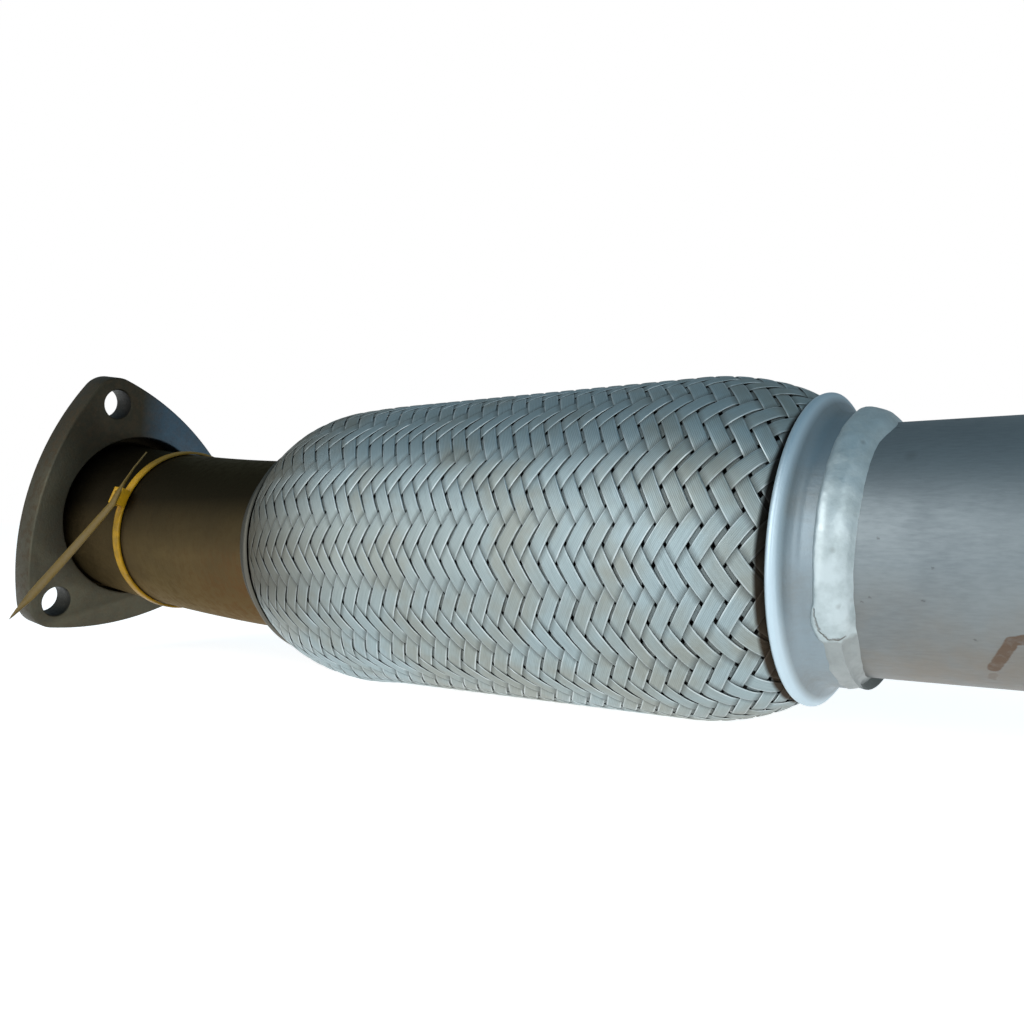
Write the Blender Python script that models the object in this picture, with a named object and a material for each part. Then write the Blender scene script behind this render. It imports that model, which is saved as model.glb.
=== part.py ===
"""Flexible exhaust pipe: three-bolt flange, bent inlet pipe, braided flex joint and welded outlet pipe.

Lengths are metres. Distances called s run along the centre line from the outlet collar's rim towards the
inlet, so the outlet pipe has negative values. The row's +X points to the outlet and +Z up.
"""

import math

import bmesh
import bpy
from mathutils import Matrix, Vector

# Pipes
PIPE_RADIUS = 0.0350
PIPE_WALL = 0.0015
OUTLET_LENGTH = 0.095
PIPE_ENTRY = 0.008

# Flex joint
FLEX_LENGTH = 0.203
FLEX_BEND_LENGTH = 0.053
FLEX_END_DROP = 0.0018
FLEX_END_PITCH = math.radians(1.8)
FIT_GAP = 0.0003
OUTLET_LEAN = math.radians(3.6)
INLET_LEAN = math.radians(2.5)
LEAN_REACH = 0.060

# Inlet pipe bend and flange seat
INLET_LENGTH = 0.1345
INLET_END_PITCH = math.radians(8.6)
LIP_HEIGHT = 0.0065
LIP_THICKNESS = 0.0025
LIP_GAP = 0.0005

# Flange
FLANGE_THICKNESS = 0.0127
FLANGE_EDGE = 0.0009
BORE_CLEARANCE = 0.0030
FLANGE_LIFT = 0.0018
BOLT_CIRCLE_OFFSET = 0.0202
BOLT_HOLE_RADIUS = 0.00675
CORNER_RADIUS = 0.0125
SIDE_ARC_RADIUS = 0.1310
FLANGE_ROLL = math.radians(106.3)
BOLT_COUNT = 3

# Braid
BRAID_RISE = 0.01737
BRAID_WALL = 0.0009
RIDGE_HEIGHT = 0.0005
SHOULDER_LENGTH = 0.0370
SHOULDER_POWER = 1.45
BRAID_PITCH = 0.00612
BRAID_FIRST_GROOVE = 0.0023
ZIGZAG_COUNT = 16
ZIGZAG_PHASE = math.radians(8.95)
GAP_SIZE = 0.0010
GAP_FIRST_ROW = 3
GAP_ROWS = 2

# Bellows and liner
BELLOWS_WALL = 0.0004
BELLOWS_CREST_RISE = 0.0098
BELLOWS_START = 0.015
CONVOLUTIONS = 14
LINER_WALL = 0.0008
LINER_OVERLAP = 0.003

# Collars and weld beads
COLLAR_WALL = 0.0014
OUTLET_RIM_RISE = 0.00965
INLET_RIM_RISE = 0.0080
CRIMP_LENGTH = 0.0075
OUTLET_SLEEVE = 0.0115
INLET_SLEEVE = 0.0085
OUTLET_BEAD_LENGTH = 0.0070
OUTLET_BEAD_HEIGHT = 0.0008
BEAD_LUMP = 0.0003
INLET_BEAD_LENGTH = 0.0024

# Cable tie
TIE_PLACE = 0.0955
STRAP_WIDTH = 0.0046
STRAP_THICKNESS = 0.0012
HEAD_ANGLE = math.radians(157)
HEAD_WIDTH = 0.0078
HEAD_LENGTH = 0.0088
HEAD_HEIGHT = 0.0052
TAIL_THICKNESS = 0.0011
TAIL_WIDTH = 0.0046
TAIL_START = 0.0046
TAIL_RUN = 0.0340
TAIL_OUT = 0.0240
TAIL_DROP = 0.0550
TAIL_END_RISE = 0.0230
TAIL_END_IN = 0.0159

ROUND = 48
NESTED = 32

FLEX_BEND_START = FLEX_LENGTH - FLEX_BEND_LENGTH
LIP_RADIUS = PIPE_RADIUS + LIP_HEIGHT
BOLT_CIRCLE_RADIUS = PIPE_RADIUS + BOLT_CIRCLE_OFFSET
BRAID_RADIUS = PIPE_RADIUS + BRAID_RISE
BELLOWS_CREST_RADIUS = PIPE_RADIUS + BELLOWS_CREST_RISE
OUTLET_RIM_RADIUS = PIPE_RADIUS + OUTLET_RIM_RISE
INLET_RIM_RADIUS = PIPE_RADIUS + INLET_RIM_RISE
CUFF_INNER = PIPE_RADIUS + FIT_GAP
CUFF_OUTER = CUFF_INNER + BELLOWS_WALL
CLAMP_INNER = CUFF_OUTER + FIT_GAP
CLAMP_OUTER = CLAMP_INNER + BRAID_WALL
SLEEVE_INNER = CLAMP_OUTER + FIT_GAP
SLEEVE_OUTER = SLEEVE_INNER + COLLAR_WALL
BORE_RADIUS = PIPE_RADIUS + BORE_CLEARANCE
INLET_BEND_RADIUS = INLET_LENGTH / (INLET_END_PITCH - FLEX_END_PITCH)
SHOULDER_FOOT = 0.0020


def clear_scene():
    """Removes every object, so the part is built in an empty scene."""
    for found in list(bpy.data.objects):
        bpy.data.objects.remove(found, do_unlink=True)


def metal(name, colour, roughness, metallic=1.0):
    """One Principled material."""
    made = bpy.data.materials.new(name)
    made.use_nodes = True
    shader = made.node_tree.nodes["Principled BSDF"]
    shader.inputs["Base Color"].default_value = (*colour, 1.0)
    shader.inputs["Roughness"].default_value = roughness
    shader.inputs["Metallic"].default_value = metallic
    return made


def spine(s):
    """The centre line's place and pitch at s: straight, a soft S in the flex, then one long arc."""
    if s <= FLEX_BEND_START:
        return Vector((-s, 0.0, 0.0)), 0.0
    if s <= FLEX_LENGTH:
        span = FLEX_LENGTH - FLEX_BEND_START
        q = (s - FLEX_BEND_START) / span
        end_rise = math.tan(FLEX_END_PITCH) * span
        rise = (q * q * q - q * q) * end_rise - (3 * q * q - 2 * q * q * q) * FLEX_END_DROP
        slope = ((3 * q * q - 2 * q) * end_rise - (6 * q - 6 * q * q) * FLEX_END_DROP) / span
        return Vector((-s, 0.0, rise)), math.atan(slope)
    pitch = FLEX_END_PITCH + (s - FLEX_LENGTH) / INLET_BEND_RADIUS
    run = INLET_BEND_RADIUS * (math.sin(pitch) - math.sin(FLEX_END_PITCH))
    rise = INLET_BEND_RADIUS * (math.cos(FLEX_END_PITCH) - math.cos(pitch))
    return Vector((-FLEX_LENGTH - run, 0.0, rise - FLEX_END_DROP)), pitch


def lean(s):
    """How far the flex joint's sections lean, top outwards, at its caps: the pipes are welded on askew."""
    total = 0.0
    for place, amount in ((s, OUTLET_LEAN), (FLEX_LENGTH - s, -INLET_LEAN)):
        q = max(0.0, min(1.0, place / LEAN_REACH))
        total += amount * (1 - q * q * (3 - 2 * q))
    return total


def across(s, away, up, leaning=False):
    """A point of the section at s, from its distances away (+Y) and up; the flex joint's own sections lean."""
    centre, pitch = spine(s)
    if leaning:
        pitch += lean(s)
    return centre + Vector((up * math.sin(pitch), away, up * math.cos(pitch)))


def around(s, radius, angle, leaning=False):
    """A point at a radius and an angle round the centre line; 0 is away (+Y), a quarter turn is up."""
    return across(s, radius * math.cos(angle), radius * math.sin(angle), leaning)


def object_from(name, points, faces, material):
    """A closed mesh object with outward normals, smooth where it is round."""
    mesh = bpy.data.meshes.new(name)
    mesh.from_pydata([tuple(point) for point in points], [], faces)
    work = bmesh.new()
    work.from_mesh(mesh)
    bmesh.ops.recalc_face_normals(work, faces=work.faces)
    work.to_mesh(mesh)
    work.free()
    mesh.materials.append(material)
    mesh.shade_smooth()
    mesh.set_sharp_from_angle(angle=math.radians(40))
    made = bpy.data.objects.new(name, mesh)
    bpy.context.scene.collection.objects.link(made)
    return made


def closed_rings(rings):
    """Faces between equal rings of points that close into a loop, so the shape is one hollow ring."""
    count = len(rings[0])
    points = [point for ring in rings for point in ring]
    faces = []
    for i in range(len(rings)):
        here = i * count
        after = ((i + 1) % len(rings)) * count
        for j in range(count):
            step = (j + 1) % count
            faces.append((here + j, here + step, after + step, after + j))
    return points, faces


def turned(name, profile, segments, material, lump=None, leaning=False):
    """A closed profile of (s, radius) swept round the centre line; lump adds to a radius by angle."""
    rings = []
    for s, radius in profile:
        ring = []
        for j in range(segments):
            angle = 2 * math.pi * j / segments
            extra = lump(s, radius, angle) if lump else 0.0
            ring.append(around(s, radius + extra, angle, leaning))
        rings.append(ring)
    points, faces = closed_rings(rings)
    return object_from(name, points, faces, material)


def spaced(first, last, count):
    """Equally spaced values with both ends."""
    return [first + (last - first) * i / (count - 1) for i in range(count)]


def hide_cutter(cutter):
    """A cutting or joining shape stays out of the finished part."""
    cutter.hide_render = True
    cutter.display_type = "WIRE"


def boolean(target, other, operation):
    """One exact Boolean, left live on the piece."""
    made = target.modifiers.new(operation.title(), "BOOLEAN")
    made.operation = operation
    made.solver = "EXACT"
    made.object = other
    hide_cutter(other)


def make_outlet_pipe(material):
    """Straight pipe stub with square ends, entering the flex joint's outlet cuff."""
    inner = PIPE_RADIUS - PIPE_WALL
    profile = [
        (PIPE_ENTRY, PIPE_RADIUS),
        (-OUTLET_LENGTH, PIPE_RADIUS),
        (-OUTLET_LENGTH, inner),
        (PIPE_ENTRY, inner),
    ]
    return turned("outlet_pipe", profile, ROUND, material)


def flange_middle():
    """Distance of the flange's middle plane along the centre line."""
    return FLEX_LENGTH + INLET_LENGTH + FLANGE_THICKNESS / 2


def make_inlet_pipe(material):
    """Bent pipe from the flex joint through the flange, with a flat flared lip that keeps the flange on."""
    start = FLEX_LENGTH - PIPE_ENTRY
    face = flange_middle() + FLANGE_THICKNESS / 2
    flare_start = face - LIP_THICKNESS
    lip_start = face + LIP_GAP
    lip_end = lip_start + LIP_THICKNESS
    body = [start, FLEX_LENGTH] + spaced(FLEX_LENGTH + CRIMP_LENGTH, flare_start, 7)
    outer = [(s, PIPE_RADIUS) for s in body]
    outer.append((lip_start - LIP_GAP, PIPE_RADIUS + 0.3 * PIPE_WALL))
    outer.append((lip_start, PIPE_RADIUS + PIPE_WALL))
    outer.append((lip_start, LIP_RADIUS))
    outer.append((lip_end, LIP_RADIUS))
    inner = [(lip_end, PIPE_RADIUS)]
    inner.append((lip_end - 0.3 * LIP_THICKNESS, PIPE_RADIUS - 0.75 * PIPE_WALL))
    inner.append((lip_end - LIP_THICKNESS, PIPE_RADIUS - PIPE_WALL))
    inner.extend((s, PIPE_RADIUS - PIPE_WALL) for s in reversed(body))
    return turned("inlet_pipe", outer + inner, ROUND, material)


def collar_profile(sleeve, rim_radius):
    """Spun cap's section as (distance into the flex, radius): rolled rim, hollow neck, short sleeve."""
    rim = rim_radius - SLEEVE_OUTER
    outer = [
        (0.12 * CRIMP_LENGTH, rim_radius - 0.12 * rim),
        (0.05 * CRIMP_LENGTH, rim_radius - 0.04 * rim),
        (-0.07 * CRIMP_LENGTH, rim_radius),
        (-0.25 * CRIMP_LENGTH, rim_radius - 0.01 * rim),
        (-0.40 * CRIMP_LENGTH, rim_radius - 0.14 * rim),
        (-0.53 * CRIMP_LENGTH, rim_radius - 0.44 * rim),
        (-0.65 * CRIMP_LENGTH, rim_radius - 0.72 * rim),
        (-0.81 * CRIMP_LENGTH, rim_radius - 0.92 * rim),
        (-0.99 * CRIMP_LENGTH, SLEEVE_OUTER),
        (-sleeve, SLEEVE_OUTER),
    ]
    inner = [
        (-sleeve, SLEEVE_INNER),
        (-0.84 * CRIMP_LENGTH, SLEEVE_INNER),
        (-0.63 * CRIMP_LENGTH, SLEEVE_INNER + 0.15 * rim),
        (-0.48 * CRIMP_LENGTH, SLEEVE_INNER + 0.50 * rim),
        (-0.32 * CRIMP_LENGTH, SLEEVE_INNER + 0.88 * rim),
        (-0.12 * CRIMP_LENGTH, SLEEVE_INNER + 0.98 * rim),
    ]
    return outer + inner


def make_collars(material):
    """The two end caps that clamp the braid, mirrored about the middle of the flex joint."""
    outlet = collar_profile(OUTLET_SLEEVE, OUTLET_RIM_RADIUS)
    inlet = [(FLEX_LENGTH - s, radius) for s, radius in collar_profile(INLET_SLEEVE, INLET_RIM_RADIUS)]
    return [
        turned("outlet_collar", outlet, ROUND, material, leaning=True),
        turned("inlet_collar", inlet, ROUND, material, leaning=True),
    ]


def bead_lump(s, radius, angle):
    """Uneven crown of a hand-laid weld: zero at the bead's foot, where it meets the metal below."""
    if radius < SLEEVE_OUTER + 2 * FIT_GAP:
        return 0.0
    return BEAD_LUMP * (math.sin(7 * angle) * math.sin(11 * angle + 1.0) + 0.4 * math.sin(23 * angle))


def make_weld_beads(material):
    """Wide lumpy bead from the outlet collar's sleeve to the pipe, and a small fillet at the inlet."""
    over = SLEEVE_OUTER + FIT_GAP
    foot = PIPE_RADIUS + FIT_GAP
    step = OUTLET_SLEEVE + FIT_GAP
    end = step + OUTLET_BEAD_LENGTH
    crown = over + OUTLET_BEAD_HEIGHT
    outlet = [
        (-OUTLET_SLEEVE + 0.50 * OUTLET_BEAD_LENGTH, over),
        (-OUTLET_SLEEVE + 0.32 * OUTLET_BEAD_LENGTH, over + 0.85 * OUTLET_BEAD_HEIGHT),
        (-OUTLET_SLEEVE, crown),
        (-step - 0.45 * OUTLET_BEAD_LENGTH, crown),
        (-step - 0.80 * OUTLET_BEAD_LENGTH, over),
        (-step - 0.96 * OUTLET_BEAD_LENGTH, foot + 0.4 * (over - foot)),
        (-end, foot),
        (-step, foot),
        (-step, over),
    ]
    first = FLEX_LENGTH + INLET_SLEEVE + FIT_GAP
    inlet = [
        (first, foot),
        (first + INLET_BEAD_LENGTH, foot),
        (first + 0.6 * INLET_BEAD_LENGTH, foot + 0.4 * (SLEEVE_OUTER - foot)),
        (first, foot + 0.8 * (SLEEVE_OUTER - foot)),
    ]
    return [
        turned("outlet_weld_bead", outlet, ROUND, material, bead_lump, True),
        turned("inlet_weld_bead", inlet, NESTED, material, leaning=True),
    ]


def make_bellows(material):
    """Corrugated gas-tight tube under the braid, with plain cuffs round both pipe ends."""
    depth = BELLOWS_CREST_RADIUS - CUFF_OUTER
    last = FLEX_LENGTH - BELLOWS_START
    pitch = (last - BELLOWS_START) / CONVOLUTIONS
    outer = [(-CRIMP_LENGTH, CUFF_OUTER), (BELLOWS_START, CUFF_OUTER)]
    inner = [(-CRIMP_LENGTH, CUFF_INNER), (BELLOWS_START, CUFF_INNER)]
    for turn in range(CONVOLUTIONS):
        crest = BELLOWS_START + (turn + 0.5) * pitch
        root = BELLOWS_START + (turn + 1) * pitch
        outer += [(crest, CUFF_OUTER + depth), (root, CUFF_OUTER)]
        inner += [(crest, CUFF_INNER + depth), (root, CUFF_INNER)]
    for place in (FLEX_LENGTH - PIPE_ENTRY, FLEX_LENGTH, FLEX_LENGTH + CRIMP_LENGTH):
        outer.append((place, CUFF_OUTER))
        inner.append((place, CUFF_INNER))
    return turned("bellows", outer + inner[::-1], NESTED, material, leaning=True)


def make_liner(material):
    """Inner liner tube that smooths the gas flow past the bellows; its ends sit inside the pipe ends."""
    radius = PIPE_RADIUS - PIPE_WALL - FIT_GAP
    places = spaced(-LINER_OVERLAP, FLEX_BEND_START, 2)
    places += spaced(FLEX_BEND_START, FLEX_LENGTH - PIPE_ENTRY, 5)[1:]
    places += [FLEX_LENGTH, FLEX_LENGTH + LINER_OVERLAP]
    outer = [(s, radius) for s in places]
    inner = [(s, radius - LINER_WALL) for s in reversed(places)]
    return turned("inner_liner", outer + inner, NESTED, material)


def braid_radius(s):
    """Outer radius of the woven sleeve: clamped at both ends, full in the middle, with round shoulders."""
    from_end = min(s, FLEX_LENGTH - s) + SHOULDER_FOOT
    if from_end <= 0:
        return CLAMP_OUTER
    q = min(from_end / SHOULDER_LENGTH, 1.0)
    bulge = (1 - (1 - q) ** SHOULDER_POWER) ** (1 / SHOULDER_POWER)
    return CLAMP_OUTER + (BRAID_RADIUS - CLAMP_OUTER) * bulge


def braid_inside(s):
    """The sleeve's inner surface below a place s of its outer one: square to the slope, so the wall holds."""
    step = 0.0005
    slope = (braid_radius(s + step) - braid_radius(s - step)) / (2 * step)
    lean = math.atan(slope)
    wall = BRAID_WALL + RIDGE_HEIGHT
    return s + wall * math.sin(lean), braid_radius(s) - wall * math.cos(lean)


def ease(s):
    """How far the weave's relief is developed: none in the clamps, full a little way up the shoulders."""
    from_end = min(s, FLEX_LENGTH - s)
    return max(0.0, min(1.0, (from_end - BRAID_PITCH / 2) / BRAID_PITCH))


def groove_rows():
    """Centre distances of the zigzag grooves and crests, half a pitch apart, alternating."""
    rows = []
    count = int((FLEX_LENGTH - 2 * BRAID_FIRST_GROOVE) / (BRAID_PITCH / 2))
    for i in range(count + 1):
        rows.append((BRAID_FIRST_GROOVE + i * BRAID_PITCH / 2, i % 2))
    return rows


def make_braid(material):
    """Woven sleeve as one wall: zigzag ridges run round it, and small gaps open on the outlet shoulder."""
    columns = 2 * ZIGZAG_COUNT
    end = FLEX_LENGTH + CRIMP_LENGTH
    clamp_start = -SHOULDER_FOOT
    clamp_end = FLEX_LENGTH + SHOULDER_FOOT

    def column_angle(j):
        return ZIGZAG_PHASE + math.pi * j / ZIGZAG_COUNT

    def plain_ring(s, radius):
        return [around(s, radius, column_angle(j), True) for j in range(columns)]

    rings = [plain_ring(-CRIMP_LENGTH, CLAMP_OUTER), plain_ring(clamp_start, CLAMP_OUTER)]
    for s, crest in groove_rows():
        ring = []
        for j in range(columns):
            side = -1 if j % 2 == 0 else 1
            place = s + side * ease(s) * BRAID_PITCH / 2
            sink = 0.0 if crest else RIDGE_HEIGHT * ease(s)
            ring.append(around(place, braid_radius(place) - sink, column_angle(j), True))
        rings.append(ring)
    rings += [plain_ring(clamp_end, CLAMP_OUTER), plain_ring(end, CLAMP_OUTER)]
    rings += [plain_ring(end, CLAMP_INNER), plain_ring(clamp_end + BRAID_WALL, CLAMP_INNER)]
    shoulder = [part * SHOULDER_LENGTH for part in (0.095, 0.16, 0.30, 0.50, 0.85)]
    stations = [FLEX_LENGTH - d for d in shoulder] + [FLEX_BEND_START] + shoulder[::-1]
    for s in stations:
        place, radius = braid_inside(s)
        rings.append(plain_ring(place, radius))
    rings += [plain_ring(clamp_start - BRAID_WALL, CLAMP_INNER), plain_ring(-CRIMP_LENGTH, CLAMP_INNER)]
    points, faces = closed_rings(rings)
    braid = object_from("braid_sleeve", points, faces, material)
    boolean(braid, make_gap_cutter(column_angle, columns), "DIFFERENCE")
    return braid


def make_gap_cutter(column_angle, columns):
    """Small upright diamonds where the strips leave gaps, two rows round the outlet shoulder."""
    points = []
    faces = []
    for row in range(GAP_ROWS):
        middle = BRAID_FIRST_GROOVE + (GAP_FIRST_ROW + row) * BRAID_PITCH
        for j in range(columns):
            side = -1 if j % 2 == 0 else 1
            s = middle + side * BRAID_PITCH / 2
            angle = column_angle(j)
            turn = GAP_SIZE / braid_radius(s)
            base = len(points)
            for radius in (braid_radius(s) - 0.004, braid_radius(s) + 0.003):
                points.append(around(s - GAP_SIZE, radius, angle, True))
                points.append(around(s, radius, angle + turn, True))
                points.append(around(s + GAP_SIZE, radius, angle, True))
                points.append(around(s, radius, angle - turn, True))
            faces += [(base, base + 1, base + 2, base + 3), (base + 7, base + 6, base + 5, base + 4)]
            for k in range(4):
                after = (k + 1) % 4
                faces.append((base + k, base + 4 + k, base + 4 + after, base + after))
    cutter = object_from("braid_gap_cutter", points, faces, None)
    hide_cutter(cutter)
    return cutter


def flange_outline():
    """Rounded triangle: each corner arc is centred on its bolt hole, and flat arcs join the corners."""
    half = BOLT_CIRCLE_RADIUS * math.sin(math.pi / BOLT_COUNT)
    lever = SIDE_ARC_RADIUS - CORNER_RADIUS
    behind = math.sqrt(lever * lever - half * half) - BOLT_CIRCLE_RADIUS * math.cos(math.pi / BOLT_COUNT)
    spread = math.asin(half / lever)
    sweep = math.pi / BOLT_COUNT - spread
    points = []
    for k in range(BOLT_COUNT):
        corner = FLANGE_ROLL + 2 * math.pi * k / BOLT_COUNT
        side = corner + math.pi / BOLT_COUNT
        hole = Vector((math.cos(corner), math.sin(corner))) * BOLT_CIRCLE_RADIUS
        for angle in spaced(corner - sweep, corner + sweep, 9):
            points.append(hole + CORNER_RADIUS * Vector((math.cos(angle), math.sin(angle))))
        middle = -behind * Vector((math.cos(side), math.sin(side)))
        for angle in spaced(side - spread, side + spread, 8)[1:-1]:
            points.append(middle + SIDE_ARC_RADIUS * Vector((math.cos(angle), math.sin(angle))))
    return points


def prism(name, outline, low, high, material):
    """An outline in its own plane, raised between two heights along +Z."""
    count = len(outline)
    points = [(p[0], p[1], low) for p in outline] + [(p[0], p[1], high) for p in outline]
    faces = [tuple(range(count)), tuple(range(count, 2 * count))]
    for j in range(count):
        step = (j + 1) % count
        faces.append((j, step, count + step, count + j))
    return object_from(name, points, faces, material)


def circle(radius, count, centre=(0.0, 0.0)):
    """Points of a circle in a plane."""
    turns = [2 * math.pi * j / count for j in range(count)]
    return [(centre[0] + radius * math.cos(a), centre[1] + radius * math.sin(a)) for a in turns]


def flange_frame():
    """Matrix whose X is away (+Y), whose Y is up, and whose Z is the pipe's axis towards the outlet.

    The flange is loose, so it rests a little above the pipe's own axis.
    """
    centre, pitch = spine(flange_middle())
    up = Vector((math.sin(pitch), 0.0, math.cos(pitch)))
    away = Vector((0.0, 1.0, 0.0))
    turn = Matrix((away, up, away.cross(up))).transposed()
    return Matrix.Translation(centre + FLANGE_LIFT * up) @ turn.to_4x4()


def make_flange(material):
    """Thick loose flange, square to the pipe's end, with a wide bore and bolt holes."""
    half = FLANGE_THICKNESS / 2
    flange = prism("inlet_flange", flange_outline(), -half, half, material)
    edge = flange.modifiers.new("Edge", "BEVEL")
    edge.width = FLANGE_EDGE
    edge.segments = 2
    edge.limit_method = "ANGLE"
    edge.angle_limit = math.radians(50)
    frame = flange_frame()
    flange.matrix_world = frame
    cutters = [prism("bore_cutter", circle(BORE_RADIUS, ROUND), -2 * half, 2 * half, None)]
    for k in range(BOLT_COUNT):
        corner = FLANGE_ROLL + 2 * math.pi * k / BOLT_COUNT
        centre = (BOLT_CIRCLE_RADIUS * math.cos(corner), BOLT_CIRCLE_RADIUS * math.sin(corner))
        outline = circle(BOLT_HOLE_RADIUS, 24, centre)
        cutters.append(prism(f"bolt_cutter_{k + 1}", outline, -2 * half, 2 * half, None))
    for cutter in cutters:
        cutter.matrix_world = frame
        boolean(flange, cutter, "DIFFERENCE")
    return [flange, *cutters]


def tie_place():
    """Distance of the strap's middle along the centre line."""
    return FLEX_LENGTH + TIE_PLACE


def tail_path():
    """The tail's stations: place along, away, up and half width, from its thin upper end to its tip."""
    height = PIPE_RADIUS + FIT_GAP + STRAP_THICKNESS + HEAD_HEIGHT / 2
    away = height * math.cos(HEAD_ANGLE) - 0.7 * TAIL_START
    up = height * math.sin(HEAD_ANGLE) - 0.7 * TAIL_START
    place = tie_place() - STRAP_WIDTH / 3
    half = TAIL_WIDTH / 2
    stations = [(place + 2 * half / 3, away + TAIL_END_IN, up + TAIL_END_RISE, 0.17 * half)]
    stations.append((place, away + TAIL_END_IN / 3, up + 0.43 * TAIL_END_RISE, 0.40 * half))
    for q, width in ((0.0, 0.74), (0.27, 0.87), (0.53, 1.0), (0.77, 1.0), (0.92, 0.52), (1.0, 0.13)):
        stations.append((place + q * TAIL_RUN, away - q * TAIL_OUT, up - q * TAIL_DROP, width * half))
    return stations


def make_tail(material):
    """Flat strip left long after the tie was pulled tight."""
    stations = tail_path()
    places = [across(s, away, up) for s, away, up, _ in stations]
    rings = []
    for k, (place, (_, _, _, half)) in enumerate(zip(places, stations)):
        before = places[max(k - 1, 0)]
        after = places[min(k + 1, len(places) - 1)]
        along = (after - before).normalized()
        outward = Vector((0.0, -1.0, 0.0))
        wide = along.cross(outward).normalized()
        thick = wide.cross(along).normalized() * min(TAIL_THICKNESS, 2 * half) / 2
        rings.append([place + wide * half + thick, place + wide * half - thick,
                      place - wide * half - thick, place - wide * half + thick])
    points = [point for ring in rings for point in ring]
    faces = [(0, 1, 2, 3), tuple(len(points) - 1 - k for k in range(4))]
    for i in range(len(rings) - 1):
        for j in range(4):
            step = (j + 1) % 4
            faces.append((4 * i + j, 4 * i + step, 4 * i + 4 + step, 4 * i + 4 + j))
    return object_from("tie_tail_shape", points, faces, material)


def make_head(material):
    """Ratchet head: a small block that sits on the strap, with softened edges."""
    middle = around(tie_place(), PIPE_RADIUS + FIT_GAP + STRAP_THICKNESS / 2 + HEAD_HEIGHT / 2, HEAD_ANGLE)
    corners = []
    faces = [(0, 1, 3, 2), (4, 6, 7, 5), (0, 4, 5, 1), (2, 3, 7, 6), (0, 2, 6, 4), (1, 5, 7, 3)]
    for x in (-0.5, 0.5):
        for y in (-0.5, 0.5):
            for z in (-0.5, 0.5):
                corners.append((x * HEAD_WIDTH, y * HEAD_LENGTH, z * HEAD_HEIGHT))
    head = object_from("tie_head_shape", corners, faces, material)
    soft = head.modifiers.new("Soft edges", "BEVEL")
    soft.width = 0.17 * HEAD_HEIGHT
    soft.segments = 2
    out = (around(tie_place(), 1.0, HEAD_ANGLE) - around(tie_place(), 0.5, HEAD_ANGLE)).normalized()
    _, pitch = spine(tie_place())
    along = Vector((-math.cos(pitch), 0.0, math.sin(pitch)))
    round_pipe = out.cross(along).normalized()
    turn = Matrix((along, round_pipe, along.cross(round_pipe))).transposed()
    head.matrix_world = Matrix.Translation(middle) @ turn.to_4x4()
    return head


def make_tie(material):
    """Cable tie, moulded in one: strap round the inlet pipe, head and long tail."""
    inner = PIPE_RADIUS + FIT_GAP
    outer = inner + STRAP_THICKNESS
    half = STRAP_WIDTH / 2
    place = tie_place()
    profile = [(place - half, inner), (place - half, outer), (place + half, outer), (place + half, inner)]
    tie = turned("cable_tie", profile, ROUND, material)
    for piece in (make_head(material), make_tail(material)):
        boolean(tie, piece, "UNION")
    return tie


def set_on_base(part):
    """Moves the whole part so that the middle of its lowest side lies at the origin."""
    bpy.context.view_layer.update()
    graph = bpy.context.evaluated_depsgraph_get()
    low = [math.inf] * 3
    high = [-math.inf] * 3
    for found in bpy.context.scene.objects:
        if found.type != "MESH" or found.hide_render:
            continue
        evaluated = found.evaluated_get(graph)
        for vertex in evaluated.data.vertices:
            place = evaluated.matrix_world @ vertex.co
            low = [min(a, b) for a, b in zip(low, place)]
            high = [max(a, b) for a, b in zip(high, place)]
    part.location = (-(low[0] + high[0]) / 2, -(low[1] + high[1]) / 2, -low[2])
    bpy.context.view_layer.update()


def main():
    clear_scene()
    steel = metal("pipe_steel", (0.27, 0.29, 0.30), 0.42)
    sooty = metal("inlet_steel", (0.16, 0.13, 0.09), 0.50)
    plate = metal("flange_steel", (0.08, 0.08, 0.07), 0.55)
    woven = metal("braid_steel", (0.36, 0.42, 0.44), 0.32)
    satin = metal("collar_steel", (0.38, 0.44, 0.48), 0.38)
    weld = metal("weld_metal", (0.50, 0.56, 0.58), 0.35)
    thin = metal("bellows_steel", (0.45, 0.45, 0.44), 0.30)
    nylon = metal("yellow_nylon", (0.60, 0.32, 0.01), 0.45, 0.0)

    part = bpy.data.objects.new("flexible_exhaust_pipe", None)
    bpy.context.scene.collection.objects.link(part)
    make_outlet_pipe(steel)
    make_inlet_pipe(sooty)
    make_collars(satin)
    make_weld_beads(weld)
    make_bellows(thin)
    make_liner(thin)
    make_braid(woven)
    make_flange(plate)
    make_tie(nylon)
    for found in bpy.context.scene.objects:
        if found is not part:
            found.parent = part
    set_on_base(part)


main()
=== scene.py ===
"""Flexible exhaust pipe: woven sleeve, welded pipes, loose flange and cable tie, on a pale floor.

Lengths are metres. Distances called s run along the centre line from the outlet cap's rim towards the
inlet, and angles go round it from +Y through up. A point is made in that frame and moved to the row's.
"""

import math

import bmesh
import bpy
from bpy.props import FloatProperty, FloatVectorProperty, IntProperty, PointerProperty
from mathutils import Matrix, Vector, noise


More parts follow.
